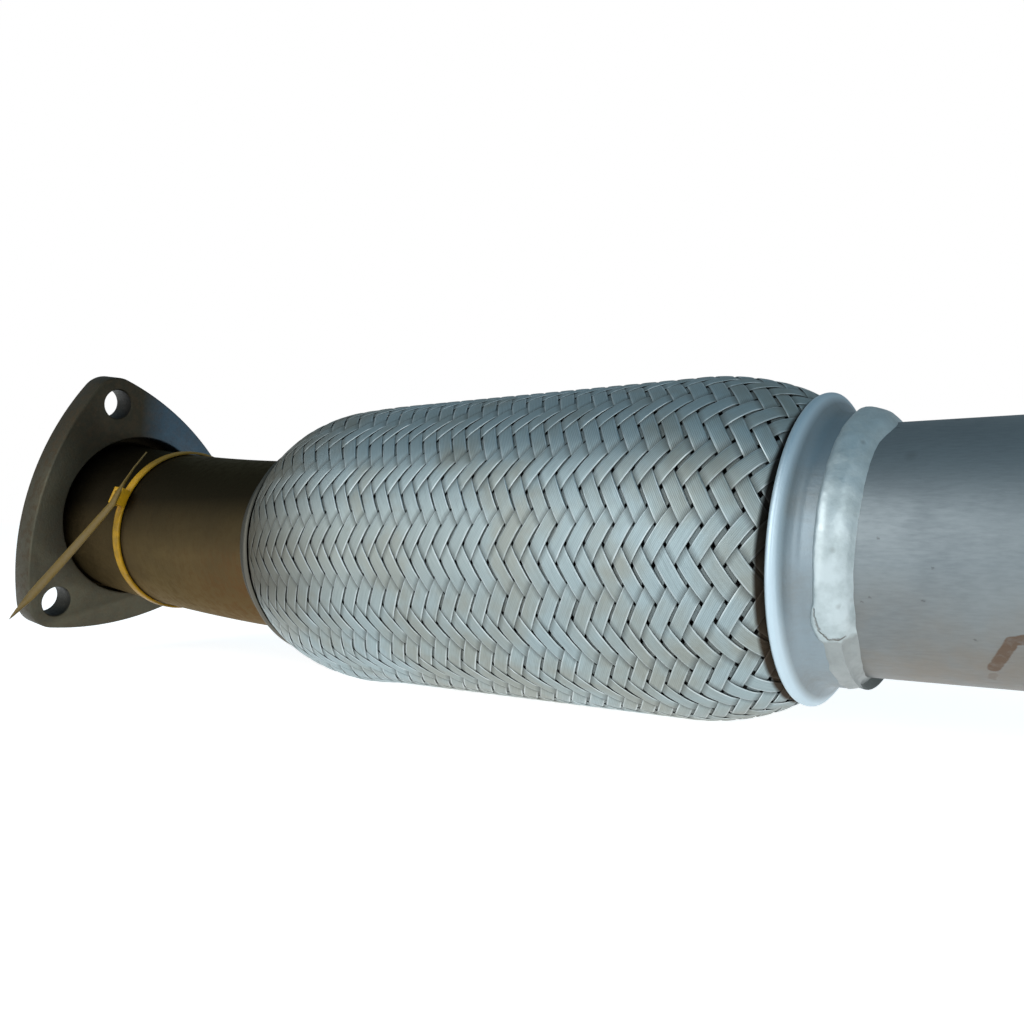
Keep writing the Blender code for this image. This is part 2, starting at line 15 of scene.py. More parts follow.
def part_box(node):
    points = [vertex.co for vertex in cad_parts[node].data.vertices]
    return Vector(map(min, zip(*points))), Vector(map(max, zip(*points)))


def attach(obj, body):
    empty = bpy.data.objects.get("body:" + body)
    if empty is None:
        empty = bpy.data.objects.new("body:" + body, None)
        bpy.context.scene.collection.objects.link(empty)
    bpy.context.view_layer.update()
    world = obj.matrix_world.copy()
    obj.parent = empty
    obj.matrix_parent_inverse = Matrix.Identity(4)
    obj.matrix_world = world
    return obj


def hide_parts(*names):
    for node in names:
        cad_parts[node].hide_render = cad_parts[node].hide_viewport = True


bl_info = {
    "name": "Flexible exhaust pipe",
    "version": (1, 0, 0),
    "blender": (4, 5, 0),
    "location": "View3D > Sidebar > Exhaust",
    "description": "Builds the visible pieces of a braided exhaust flex pipe over its fixed frame",
    "category": "Object",
}

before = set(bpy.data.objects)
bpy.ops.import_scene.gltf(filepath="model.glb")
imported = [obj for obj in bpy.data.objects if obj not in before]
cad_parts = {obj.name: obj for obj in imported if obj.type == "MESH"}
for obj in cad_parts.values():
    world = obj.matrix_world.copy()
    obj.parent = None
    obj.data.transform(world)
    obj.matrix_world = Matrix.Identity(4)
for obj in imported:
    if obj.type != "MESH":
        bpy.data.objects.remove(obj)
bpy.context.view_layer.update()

MM = 0.001
OUTLET_LENGTH = 95 * MM
PIPE_LOW, PIPE_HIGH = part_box("outlet_pipe")
ORIGIN = Vector((
    PIPE_HIGH.x - OUTLET_LENGTH,
    (PIPE_LOW.y + PIPE_HIGH.y) / 2,
    (PIPE_LOW.z + PIPE_HIGH.z) / 2,
))
PIPE_RADIUS = (PIPE_HIGH.y - PIPE_LOW.y) / 2
PIPE_WALL = 1.5 * MM
PIPE_OVERLAP = 8 * MM

FLEX_LENGTH = 203 * MM
FLEX_BEND_START = 150 * MM
FLEX_END_DROP = 1.8 * MM
FLEX_END_PITCH = math.radians(1.8)
INLET_LENGTH = 134.5 * MM
INLET_END_PITCH = math.radians(8.6)
INLET_BEND_RADIUS = INLET_LENGTH / (INLET_END_PITCH - FLEX_END_PITCH)
OUTLET_LEAN = math.radians(3.6)
INLET_LEAN = math.radians(2.5)
LEAN_REACH = 60 * MM

FLANGE_THICKNESS = 12.7 * MM
FLANGE_LIFT = 1.8 * MM
FLANGE_MIDDLE = FLEX_LENGTH + INLET_LENGTH + FLANGE_THICKNESS / 2
FLANGE_ROLL = math.radians(106.3)
BORE_PLAY = 3 * MM
BOLT_CIRCLE = PIPE_RADIUS + 20.2 * MM
BOLT_HOLE_RADIUS = 6.75 * MM
CORNER_RADIUS = 12.45 * MM
SIDE_RADIUS = 131 * MM
LIP_GAP = 0.5 * MM
LIP_THICKNESS = 2.5 * MM
LIP_HEIGHT = 6.5 * MM

CRIMP_LENGTH = 7.5 * MM
CLAMP_RADIUS = PIPE_RADIUS + 1.9 * MM
SLEEVE_INNER = PIPE_RADIUS + 2.2 * MM
SLEEVE_OUTER = PIPE_RADIUS + 3.6 * MM
OUTLET_SLEEVE = 11.5 * MM
INLET_SLEEVE = 8.5 * MM
OUTLET_RIM_RADIUS = PIPE_RADIUS + 9.65 * MM
INLET_RIM_RADIUS = PIPE_RADIUS + 8.0 * MM
BEAD_START = 9.4 * MM

SHOULDER_LENGTH = 36 * MM
SHOULDER_POWER = 1.75
SHOULDER_FOOT = 2 * MM
CROSSING_STEP = math.radians(5.625)
FIRST_CROSSING = math.radians(8.95)
FIRST_HOLE = 3.95 * MM
WIDER_ROWS = math.radians(182)
ROW_SPREAD = math.radians(2.1)

TIE_PLACE = FLEX_LENGTH + 95.5 * MM
HEAD_ANGLE = math.radians(157)
HEAD_SIZE = Vector((6.2, 7.6, 4.6)) * MM

CAMERA_PLACE = Vector((91.92, -278.30, 9.86)) * MM
CAMERA_RIGHT = Vector((0.8083, 0.5887, -0.0075)).normalized()
CAMERA_AHEAD = Vector((-0.5887, 0.8083, 0.0055)).normalized()
CAMERA_LENS = 34.33


# Sizes and colours that a user may change


def length(name, note, millimetres):
    """A length property."""
    return FloatProperty(name=name, description=note, default=millimetres * MM, unit="LENGTH")


def colour(name, note, value):
    """A colour property."""
    return FloatVectorProperty(
        name=name, description=note, default=value, subtype="COLOR", size=3, min=0, max=1
    )


class ExhaustSizes(bpy.types.PropertyGroup):
    """Sizes of the visible pieces"""

    strips: IntProperty(name="Strips each way", description="Woven strips of each lean", default=32, min=8)
    strip_width: length("Strip width", "Width of one woven strip", 4.55)
    strip_thickness: length("Strip thickness", "Thickness of one woven strip", 0.30)
    strip_lift: length("Strip lift", "How far a strip rises over a crossing", 0.25)
    weave_pitch: length("Weave pitch", "Distance between like strips along the pipe", 6.02)
    braid_radius: length("Braid radius", "Outer radius of the woven sleeve", 52.05)
    liner_pitch: length("Liner pitch", "Distance between the liner's folded joints", 5.5)
    round_steps: IntProperty(name="Steps round", description="Facets round a pipe", default=160, min=24)


class ExhaustColours(bpy.types.PropertyGroup):
    """Base colours of the finishes"""

    pipe: colour("Outlet pipe", "Satin grey steel", (0.235, 0.265, 0.275))
    pipe_dark: colour("Outlet pipe, cloudy", "Darker clouds on the steel", (0.16, 0.185, 0.20))
    cap: colour("Caps", "Blue-grey satin steel", (0.34, 0.41, 0.45))
    dark_cap: colour("Inlet cap", "Heat-darkened steel", (0.075, 0.070, 0.056))
    weld: colour("Weld", "Bright weld metal", (0.57, 0.64, 0.65))
    braid: colour("Braid", "Woven stainless wire", (0.36, 0.44, 0.455))
    braid_stain: colour("Braid stain", "Brown heat stain on the wire", (0.27, 0.25, 0.19))
    # The inlet pipe's olive-brown is made darker as painted shade, for the lesser light on the inlet side.
    inlet: colour("Inlet pipe", "Olive-brown heated steel", (0.088, 0.062, 0.027))
    rust: colour("Rust", "Brown oxide", (0.13, 0.065, 0.027))
    flange: colour("Flange", "Dark oxidised plate", (0.108, 0.100, 0.068))
    flange_edge: colour("Flange edge", "Brown cut edge", (0.041, 0.031, 0.015))
    tie: colour("Cable tie", "Yellow nylon", (0.60, 0.31, 0.008))
    # The tail's colour is the tie's nylon darkened as painted shade.
    tail: colour("Tie tail", "Shaded yellow nylon", (0.17, 0.10, 0.010))
    floor: colour("Floor", "Pale floor", (0.90, 0.90, 0.90))


# Small helpers with numbers


def limited(value):
    """The value kept between 0 and 1."""
    return max(0.0, min(1.0, value))


def ease_off(q):
    """1 at 0, falling smoothly to 0 at 1, for a number or a field."""
    return 1.0 - q * q * (3.0 - q * 2.0)


def spaced(first, last, count):
    """Equally spaced values with both ends."""
    return [first + (last - first) * i / (count - 1) for i in range(count)]


def wear(place, size, seed):
    """Smooth repeatable noise between -1 and 1."""
    return noise.noise(place / size + Vector((seed, 3.7 * seed, -1.3 * seed)))


# The centre line


def spine(s):
    """The centre line's place and pitch at s: straight, a soft S in the flex, then one long arc."""
    if s <= FLEX_BEND_START:
        return Vector((-s, 0.0, 0.0)), 0.0
    if s <= FLEX_LENGTH:
        span = FLEX_LENGTH - FLEX_BEND_START
        q = (s - FLEX_BEND_START) / span
        end_rise = math.tan(FLEX_END_PITCH) * span
        rise = (q * q * q - q * q) * end_rise - (3 * q * q - 2 * q * q * q) * FLEX_END_DROP
        slope = ((3 * q * q - 2 * q) * end_rise - (6 * q - 6 * q * q) * FLEX_END_DROP) / span
        return Vector((-s, 0.0, rise)), math.atan(slope)
    pitch = FLEX_END_PITCH + (s - FLEX_LENGTH) / INLET_BEND_RADIUS
    run = INLET_BEND_RADIUS * (math.sin(pitch) - math.sin(FLEX_END_PITCH))
    rise = INLET_BEND_RADIUS * (math.cos(FLEX_END_PITCH) - math.cos(pitch))
    return Vector((-FLEX_LENGTH - run, 0.0, rise - FLEX_END_DROP)), pitch


def lean(s):
    """How far the flex joint's sections lean, top outwards, at its caps: the pipes are welded on askew."""
    at_outlet = ease_off(limited(s / LEAN_REACH)) * OUTLET_LEAN
    return at_outlet - ease_off(limited((FLEX_LENGTH - s) / LEAN_REACH)) * INLET_LEAN


def across(s, away, up, leaning=False):
    """A point of the section at s, in the row's frame; the flex joint's own sections lean."""
    centre, pitch = spine(s)
    if leaning:
        pitch += lean(s)
    return ORIGIN + centre + Vector((up * math.sin(pitch), away, up * math.cos(pitch)))


def around(s, radius, angle, leaning=False):
    """A point at a radius and an angle round the centre line, in the row's frame."""
    return across(s, radius * math.cos(angle), radius * math.sin(angle), leaning)


# Meshes


def mesh_object(name, points, faces, smooth=35):
    """A new object with outward faces, smooth except at edges sharper than the angle."""
    mesh = bpy.data.meshes.new(name)
    mesh.from_pydata([tuple(p) for p in points], [], faces)
    work = bmesh.new()
    work.from_mesh(mesh)
    bmesh.ops.remove_doubles(work, verts=work.verts, dist=0.000001)
    bmesh.ops.recalc_face_normals(work, faces=work.faces)
    work.to_mesh(mesh)
    work.free()
    mesh.shade_smooth()
    mesh.set_sharp_from_angle(angle=math.radians(smooth))
    made = bpy.data.objects.new(name, mesh)
    bpy.context.scene.collection.objects.link(made)
    return made


def ring_faces(rows, count, closed=True):
    """Faces between rows of points, each row a ring; closed joins the last row to the first."""
    faces = []
    for i in range(rows if closed else rows - 1):
        here = i * count
        after = ((i + 1) % rows) * count
        for j in range(count):
            step = (j + 1) % count
            faces.append((here + j, here + step, after + step, after + j))
    return faces


def turned(name, profile, steps, shift=None, smooth=35, leaning=False):
    """A closed profile of (s, radius) swept round the centre line; shift returns (ds, dr) for a point."""
    points = []
    for s, radius in profile:
        for j in range(steps):
            angle = 2 * math.pi * j / steps
            ds, dr = shift(s, radius, angle) if shift else (0.0, 0.0)
            points.append(around(s + ds, radius + dr, angle, leaning))
    return mesh_object(name, points, ring_faces(len(profile), steps), smooth)


def rounded(profile, reach, steps=3):
    """A closed profile with each sharp corner cut into a short arc; reach is the corner's cut length."""
    done = []
    count = len(profile)
    for i in range(count):
        here = Vector(profile[i])
        back = Vector(profile[i - 1]) - here
        front = Vector(profile[(i + 1) % count]) - here
        turn = math.degrees(back.angle(-front)) if back.length and front.length else 0
        cut = min(reach, back.length * 0.45, front.length * 0.45)
        if turn < 12 or cut < 0.03 * MM:
            done.append(tuple(here))
            continue
        start = here + back.normalized() * cut
        end = here + front.normalized() * cut
        for t in spaced(0, 1, steps + 1):
            done.append(tuple(start * (1 - t) ** 2 + here * (2 * t * (1 - t)) + end * t * t))
    return done


def long_profile(points, step):
    """The same open profile with extra points along its long runs, so that it follows the bend."""
    done = [points[0]]
    for (s0, r0), (s1, r1) in zip(points, points[1:]):
        count = max(1, int(abs(s1 - s0) / step))
        for k in range(1, count + 1):
            t = k / count
            done.append((s0 + (s1 - s0) * t, r0 + (r1 - r0) * t))
    return done


def prism(name, outline, half):
    """An outline raised both ways from its plane."""
    count = len(outline)
    points = [(p[0], p[1], z) for z in (-half, half) for p in outline]
    faces = [tuple(range(count)), tuple(range(count, 2 * count))]
    return mesh_object(name, points, faces + ring_faces(2, count, closed=False))


def apply_modifiers(piece):
    """Makes the evaluated mesh the piece's own, and clears its modifiers."""
    bpy.context.view_layer.update()
    graph = bpy.context.evaluated_depsgraph_get()
    mesh = bpy.data.meshes.new_from_object(piece.evaluated_get(graph))
    piece.modifiers.clear()
    piece.data = mesh


def cut_out(piece, cutters):
    """Cuts the cutters' shapes out of the piece and removes them."""
    for cutter in cutters:
        made = piece.modifiers.new("Cut", "BOOLEAN")
        made.operation = "DIFFERENCE"
        made.solver = "EXACT"
        made.object = cutter
    apply_modifiers(piece)
    for cutter in cutters:
        bpy.data.objects.remove(cutter)


def soften(piece, width, angle):
    """Bevels the edges that are sharper than an angle."""
    made = piece.modifiers.new("Edge", "BEVEL")
    made.width = width
    made.segments = 3
    made.limit_method = "ANGLE"
    made.angle_limit = math.radians(angle)
    apply_modifiers(piece)


def place_mesh(piece, matrix, smooth):
    """Moves the mesh itself, and sets which of its edges stay sharp."""
    piece.data.transform(matrix)
    piece.data.shade_smooth()
    piece.data.set_sharp_from_angle(angle=math.radians(smooth))


def standing(middle, first, second):
    """Matrix of a place whose first two axes are given."""
    turn = Matrix((first, second, first.cross(second))).transposed()
    return Matrix.Translation(middle) @ turn.to_4x4()


def finish_piece(piece, finish, body, slot, *nodes):
    """Hands a finished piece over: its finish, what it rides on, its slot, which is not used, and the
    solids it stands for.
    """
    piece.data.materials.clear()
    piece.data.materials.append(finish_named(finish))
    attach(piece, body)
    if nodes:
        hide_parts(*nodes)


# Numbers that vary over a surface, written with ordinary signs


class Field:
    """A varying number in a node tree; the ordinary signs add the math nodes."""

    def __init__(self, tree, socket):
        self.tree = tree
        self.socket = socket

    def math(self, operation, *others):
        node = self.tree.nodes.new("ShaderNodeMath")
        node.operation = operation
        for i, value in enumerate((self, *others)):
            if isinstance(value, Field):
                self.tree.links.new(value.socket, node.inputs[i])
            else:
                node.inputs[i].default_value = value
        return Field(self.tree, node.outputs[0])

    def __add__(self, other):
        return self.math("ADD", other)

    def __sub__(self, other):
        return self.math("SUBTRACT", other)

    def __mul__(self, other):
        return self.math("MULTIPLY", other)

    def __truediv__(self, other):
        return self.math("DIVIDE", other)

    def __rsub__(self, other):
        return (self * -1.0) + other

    def __pow__(self, other):
        return self.math("POWER", other)

    __radd__ = __add__
    __rmul__ = __mul__

    def clamped(self, low=0.0, high=1.0):
        return self.math("MAXIMUM", low).math("MINIMUM", high)

    def above(self, start, width):
        """0 up to the start, 1 from a width past it."""
        return ((self - start) / width).clamped()

    def below(self, start, width):
        """0 from the start on, 1 down from a width before it."""
        return ((start - self) / width).clamped()


def split(tree, vector):
    """The three numbers of a vector."""
    node = tree.nodes.new("ShaderNodeSeparateXYZ")
    tree.links.new(vector, node.inputs[0])
    return [Field(tree, socket) for socket in node.outputs]


def joined(tree, *values):
    """A vector made of two or three numbers."""
    node = tree.nodes.new("ShaderNodeCombineXYZ")
    for value, socket in zip(values, node.inputs):
        tree.links.new(value.socket, socket)
    return node.outputs[0]


def noise_node(tree, vector, scale=1.0, detail=2.0, rough=0.5):
    """A noise texture on a vector; its scale may vary too."""
    node = tree.nodes.new("ShaderNodeTexNoise")
    tree.links.new(vector, node.inputs["Vector"])
    node.inputs["Detail"].default_value = detail
    node.inputs["Roughness"].default_value = rough
    if isinstance(scale, Field):
        tree.links.new(scale.socket, node.inputs["Scale"])
    else:
        node.inputs["Scale"].default_value = scale
    return node


# Geometry Nodes: the woven sleeve


def sleeve_radius(s, inputs):
    """Radius of the sleeve's outer skin at s: clamped at both ends, full in the middle."""
    from_end = s.math("MINIMUM", inputs["Length"] - s) + SHOULDER_FOOT
    q = (from_end / SHOULDER_LENGTH).clamped()
    bulge = (1.0 - (1.0 - q) ** SHOULDER_POWER) ** (1 / SHOULDER_POWER)
    return (inputs["Radius"] - CLAMP_RADIUS) * bulge + CLAMP_RADIUS


def strip_turn(s, inputs):
    """Angle that a strip has turned by s."""
    return (s - FIRST_HOLE) / inputs["Pitch"] * (2 * CROSSING_STEP)


def group_input_fields(tree, **kinds):
    """Adds the tree's named inputs and returns them as fields."""
    tree.interface.new_socket("Geometry", in_out="OUTPUT", socket_type="NodeSocketGeometry")
    for name, kind in kinds.items():
        tree.interface.new_socket(name, in_out="INPUT", socket_type="NodeSocket" + kind)
    source = tree.nodes.new("NodeGroupInput")
    return {name: Field(tree, source.outputs[name]) for name in kinds}


def store(tree, name, field):
    """A node that keeps a varying number on the mesh under a name."""
    node = tree.nodes.new("GeometryNodeStoreNamedAttribute")
    node.data_type = "FLOAT"
    node.domain = "POINT"
    node.inputs["Name"].default_value = name
    value = next(i for i in node.inputs if i.name == "Value" and i.enabled)
    tree.links.new(field.socket, value)
    return node


def kept(tree, name):
    """A number kept on the mesh before."""
    node = tree.nodes.new("GeometryNodeInputNamedAttribute")
    node.data_type = "FLOAT"
    node.inputs["Name"].default_value = name
    return Field(tree, node.outputs[0])


def build_strip_tree():
    """Like-leaning flat strips that wind round the sleeve, each passing over two others and under two."""
    tree = bpy.data.node_groups.new("Woven strips", "GeometryNodeTree")
    inputs = group_input_fields(
        tree, Strips="Int", Hand="Float", Width="Float", Thickness="Float", Lift="Float", Pitch="Float",
        Radius="Float", Length="Float",
    )
    hand, thickness, whole = inputs["Hand"], inputs["Thickness"], inputs["Length"]
    rod = tree.nodes.new("GeometryNodeMeshCylinder")
    for name, value in (("Vertices", 12), ("Side Segments", 240), ("Radius", 1.0), ("Depth", 1.0)):
        rod.inputs[name].default_value = value
    points = tree.nodes.new("GeometryNodePoints")
    tree.links.new(inputs["Strips"].socket, points.inputs["Count"])
    index = Field(tree, tree.nodes.new("GeometryNodeInputIndex").outputs[0])
    copies = tree.nodes.new("GeometryNodeInstanceOnPoints")
    tree.links.new(rod.outputs["Mesh"], copies.inputs["Instance"])
    side, top, along = split(tree, tree.nodes.new("GeometryNodeInputPosition").outputs[0])
    strip = kept(tree, "strip")
    middle = (along + 0.5) * (whole + 2 * CRIMP_LENGTH) - CRIMP_LENGTH

    # Each strip strays a little sideways
    wander = noise_node(tree, joined(tree, middle * 70.0, strip * 3.71 + hand * 17.0), detail=1.0)
    wander.noise_dimensions = "2D"
    stray = Field(tree, wander.outputs[0]) - 0.5

    # The strip's own line, and a point's place beside it
    radius = sleeve_radius(middle, inputs)
    turn = strip_turn(middle, inputs)
    steep = radius / inputs["Pitch"] * (2 * CROSSING_STEP)
    angle = hand * turn + strip * (2 * CROSSING_STEP) + FIRST_CROSSING
    norm = (steep * steep + 1.0) ** 0.5
    near_outlet = (middle * (-1 / (20 * MM))).math("EXPONENT").clamped()
    near_inlet = ((middle - whole) * (1 / (12 * MM))).math("EXPONENT").clamped()
    width = inputs["Width"] - near_outlet * (0.65 * MM) - near_inlet * (0.4 * MM)
    flat_side = side.math("ABSOLUTE") ** 0.85 * side.math("SIGN")
    flat_top = top.math("ABSOLUTE") ** 0.35 * top.math("SIGN")
    offset = flat_side * width * 0.5 + stray * (0.8 * MM)
    s = middle - hand * steep * offset / norm
    phi = angle + offset / (norm * radius)

    # Over two and under two, by the row of crossings that the point lies in
    own = angle - hand * turn
    other = phi + hand * strip_turn(s, inputs)
    row = (own + other) * 0.5
    band = FIRST_CROSSING + CROSSING_STEP * 0.5
    wave = ((row - band - hand * CROSSING_STEP) * (math.pi / 2 / CROSSING_STEP)).math("COSINE")
    calm = s.math("MINIMUM", whole - s).above(-3 * MM, 6 * MM)
    lift = (wave * 1.7).clamped(-1.0, 1.0) * inputs["Lift"] * (calm * 0.8 + 0.2)
    skin = inputs["Lift"] + thickness * 0.5
    crown = (1.0 - side * side) * (0.03 * MM)
    reach = sleeve_radius(s, inputs) - skin + lift + flat_top * thickness * 0.5 + crown

    # The same soft S and the same leaning ends as the centre line's own functions
    span = FLEX_LENGTH - FLEX_BEND_START
    q = s.above(FLEX_BEND_START, span)
    end_rise = math.tan(FLEX_END_PITCH) * span
    late = (s - FLEX_LENGTH).math("MAXIMUM", 0.0)
    rise = (q * q * q - q * q) * end_rise - (q * q * 3.0 - q * q * q * 2.0) * FLEX_END_DROP
    rise = rise + late * math.tan(FLEX_END_PITCH)
    slope = ((q * q * 3.0 - q * 2.0) * end_rise - (q * 6.0 - q * q * 6.0) * FLEX_END_DROP) * (1 / span)
    askew = ease_off((s / LEAN_REACH).clamped()) * OUTLET_LEAN
    askew = askew - ease_off(((whole - s) / LEAN_REACH).clamped()) * INLET_LEAN
    spread = ((phi - WIDER_ROWS) * 2.0).math("SINE") * (s * (-1 / (90 * MM))).math("EXPONENT")
    phi = phi + spread * ROW_SPREAD
    up = reach * phi.math("SINE")
    x = up * (slope + askew) - s + ORIGIN.x
    y = reach * phi.math("COSINE") + ORIGIN.y
    place = joined(tree, x, y, up + rise + ORIGIN.z)

    move = tree.nodes.new("GeometryNodeSetPosition")
    tree.links.new(place, move.inputs["Position"])
    chain = (
        points,
        store(tree, "strip", index),
        copies,
        tree.nodes.new("GeometryNodeRealizeInstances"),
        store(tree, "strip_across", flat_side),
        store(tree, "strip_along", s),
        store(tree, "strip_rise", wave),
        move,
        tree.nodes.new("GeometryNodeSetShadeSmooth"),
        tree.nodes.new("NodeGroupOutput"),
    )
    for before, after in zip(chain, chain[1:]):
        tree.links.new(before.outputs[0], after.inputs[0])
    return tree


def from_nodes(name, tree, values):
    """The tree's result as a plain mesh object; values are given by the inputs' names."""
    holder = bpy.data.objects.new(name + "_nodes", bpy.data.meshes.new(name + "_nodes"))
    bpy.context.scene.collection.objects.link(holder)
    modifier = holder.modifiers.new("Nodes", "NODES")
    modifier.node_group = tree
    sockets = {item.name: item.identifier for item in tree.interface.items_tree if item.in_out == "INPUT"}
    for key, value in values.items():
        modifier[sockets[key]] = value
    bpy.context.view_layer.update()
    graph = bpy.context.evaluated_depsgraph_get()
    mesh = bpy.data.meshes.new_from_object(holder.evaluated_get(graph))
    if not mesh.polygons:
        raise RuntimeError(name + " came out empty")
    mesh.name = name
    bpy.data.objects.remove(holder)
    made = bpy.data.objects.new(name, mesh)
    bpy.context.scene.collection.objects.link(made)
    return made


# Shader node groups


def object_point(tree, centre=(0, 0, 0), tilt=0.0):
    """Object coordinates from a centre, turned a little about the vertical."""
    where = tree.nodes.new("ShaderNodeTexCoord")
    mapping = tree.nodes.new("ShaderNodeMapping")
    mapping.vector_type = "POINT"
    mapping.inputs["Location"].default_value = [-c for c in centre]
    mapping.inputs["Rotation"].default_value = (0.0, 0.0, tilt)
    tree.links.new(where.outputs["Object"], mapping.inputs["Vector"])
    return mapping.outputs[0]


def new_group(name, **inputs):
    """A shader group with named inputs and one output: its tree, the inputs and the output's socket."""
    tree = bpy.data.node_groups.new(name, "ShaderNodeTree")
    for socket, default in inputs.items():
        made = tree.interface.new_socket(socket, in_out="INPUT", socket_type="NodeSocketFloat")
        made.default_value = default
    tree.interface.new_socket("Value", in_out="OUTPUT", socket_type="NodeSocketFloat")
    source = tree.nodes.new("NodeGroupInput")
    end = tree.nodes.new("NodeGroupOutput")
    return tree, {k: Field(tree, source.outputs[k]) for k in inputs}, end.inputs["Value"]


def build_clouds():
    """Soft blotches between 0 and 1."""
    tree, given, end = new_group("Clouds", Scale=30.0, Low=0.4, High=0.6)
    value = Field(tree, noise_node(tree, object_point(tree), given["Scale"], 4.0, 0.6).outputs[0])
    tree.links.new(value.above(given["Low"], given["High"] - given["Low"]).socket, end)


def build_grain():
    """Fine even grain, for roughness and height."""
    tree, given, end = new_group("Fine grain", Scale=900.0, Strength=1.0)
    value = Field(tree, noise_node(tree, object_point(tree), given["Scale"], 2.0, 0.6).outputs[0])
    tree.links.new(((value - 0.5) * given["Strength"] + 0.5).socket, end)


def build_brushing():
    """Fine lines: Along and Across are their density along the pipe and across it."""
    tree, given, end = new_group("Brushing", Strength=1.0, Along=2600.0, Across=90.0)
    x, y, z = split(tree, object_point(tree, ORIGIN, 0.06))
    lines = joined(tree, x * given["Along"], y * given["Across"], z * given["Across"])
    value = Field(tree, noise_node(tree, lines, 1.0, 3.0, 0.6).outputs[0])
    tree.links.new(((value - 0.5) * given["Strength"] + 0.5).socket, end)


def build_specks():
    """Small dark pits scattered over a surface."""
    tree, given, end = new_group("Specks", Scale=260.0, Share=0.12)
    cell = tree.nodes.new("ShaderNodeTexVoronoi")
    tree.links.new(object_point(tree), cell.inputs["Vector"])
    tree.links.new(given["Scale"].socket, cell.inputs["Scale"])
    pick = tree.nodes.new("ShaderNodeSeparateColor")
    tree.links.new(cell.outputs["Color"], pick.inputs[0])
    chosen = (given["Share"] - Field(tree, pick.outputs[0])).math("GREATER_THAN", 0.0)
    dot = (1.0 - Field(tree, cell.outputs["Distance"]) * 3.2).clamped()
    tree.links.new((chosen * dot).socket, end)


def shared(tree, name, **values):
    """A shared effect placed in a material with its own values."""
    node = tree.nodes.new("ShaderNodeGroup")
    node.node_tree = bpy.data.node_groups[name]
    for key, value in values.items():
        node.inputs[key].default_value = value
    return Field(tree, node.outputs[0])


# Finishes


SPECK_TONE = (0.06, 0.055, 0.05)
PIPE_FLOOR_REFLECTION = (0.235, 0.208, 0.175)
SCUFF_TONE = (0.125, 0.075, 0.045)
CAP_STAIN = (0.25, 0.25, 0.23)
DARK_CAP_STAIN = (0.035, 0.032, 0.028)
WELD_CLOUD = (0.36, 0.42, 0.42)
WELD_DULL = (0.27, 0.28, 0.27)
WELD_PIT_AND_CREASE_SHADE = (0.09, 0.07, 0.05)
WIRE_SHADE = (0.17, 0.20, 0.20)
WIRE_DIP_SHADE = (0.08, 0.085, 0.08)
WIRE_GLINT = (0.85, 0.92, 0.93)
WIRE_HEAT_STAIN_AND_SHADE = (0.075, 0.060, 0.038)
HEATED_TINT = (0.30, 0.26, 0.20)
RIM_SHADE_ABOVE = (0.010, 0.008, 0.006)
RIM_SHADE_FLOOR_REFLECTION = (0.085, 0.058, 0.036)
INLET_CLOUD = (0.055, 0.040, 0.020)
INLET_TOP_SHADE = (0.009, 0.007, 0.004)
INLET_TINT = (0.80, 0.66, 0.45, 1.0)
FLANGE_CLOUD = (0.075, 0.070, 0.055)
FLANGE_TOP_SHADE = (0.030, 0.025, 0.015)
FLANGE_BLUE_SHEEN = (0.075, 0.125, 0.17)
FLANGE_HOLE_SHADE = (0.012, 0.011, 0.010)
THIN_STEEL = (0.22, 0.21, 0.20)
THIN_SOOT = (0.035, 0.03, 0.026)
TIE_DIRT_AND_SHADE = (0.13, 0.085, 0.015)
TAIL_DIRT_AND_SHADE = (0.16, 0.11, 0.04)


def new_material(name, base, rough, metallic=1.0):
    """A material's node tree and its Principled shader."""
    made = bpy.data.materials.new(name)
    made.use_nodes = True
    shader = made.node_tree.nodes["Principled BSDF"]
    shader.inputs["Base Color"].default_value = (*base, 1.0)
    shader.inputs["Roughness"].default_value = rough
    shader.inputs["Metallic"].default_value = metallic
    return made.node_tree, shader


def blend_colours(tree, mask, first, second):
    """first where the mask is 0, second where it is 1; either may be a colour or a socket."""
    node = tree.nodes.new("ShaderNodeMix")
    node.data_type = "RGBA"
    tree.links.new(mask.socket, node.inputs["Factor"])
    for socket, value in ((node.inputs[6], first), (node.inputs[7], second)):
        if isinstance(value, bpy.types.NodeSocket):
            tree.links.new(value, socket)
        else:
            socket.default_value = (*value, 1.0)
    return node.outputs[2]


def coat(tree, shader, tone, rough):
    """Gives a shader its varying colour and roughness."""
    tree.links.new(tone, shader.inputs["Base Color"])
    tree.links.new(rough.socket, shader.inputs["Roughness"])


def bump(tree, shader, height, depth, strength):
    """A height field as surface relief, depth in metres."""
    node = tree.nodes.new("ShaderNodeBump")
    node.inputs["Distance"].default_value = depth
    node.inputs["Strength"].default_value = strength
    tree.links.new(height.socket, node.inputs["Height"])
    tree.links.new(node.outputs[0], shader.inputs["Normal"])


def attribute(tree, name):
    """A number kept on the mesh."""
    node = tree.nodes.new("ShaderNodeAttribute")
    node.attribute_name = name
    return Field(tree, node.outputs["Fac"])


def unrolled(tree):
    """Distance along the outlet pipe, distance round it from the camera's side, and height, as fields."""
    x, y, z = split(tree, object_point(tree, ORIGIN))
    return x, z.math("ARCTAN2", y * -1.0) * -PIPE_RADIUS, z


def unsteady(tree, x, arc, reach):
    """The same place shifted by small noise, so that marks drawn there come out ragged."""
    node = noise_node(tree, object_point(tree), 700.0)
    pick = tree.nodes.new("ShaderNodeSeparateColor")
    tree.links.new(node.outputs["Color"], pick.inputs[0])
    return [place + (Field(tree, pick.outputs[i]) - 0.5) * reach for i, place in enumerate((x, arc))]


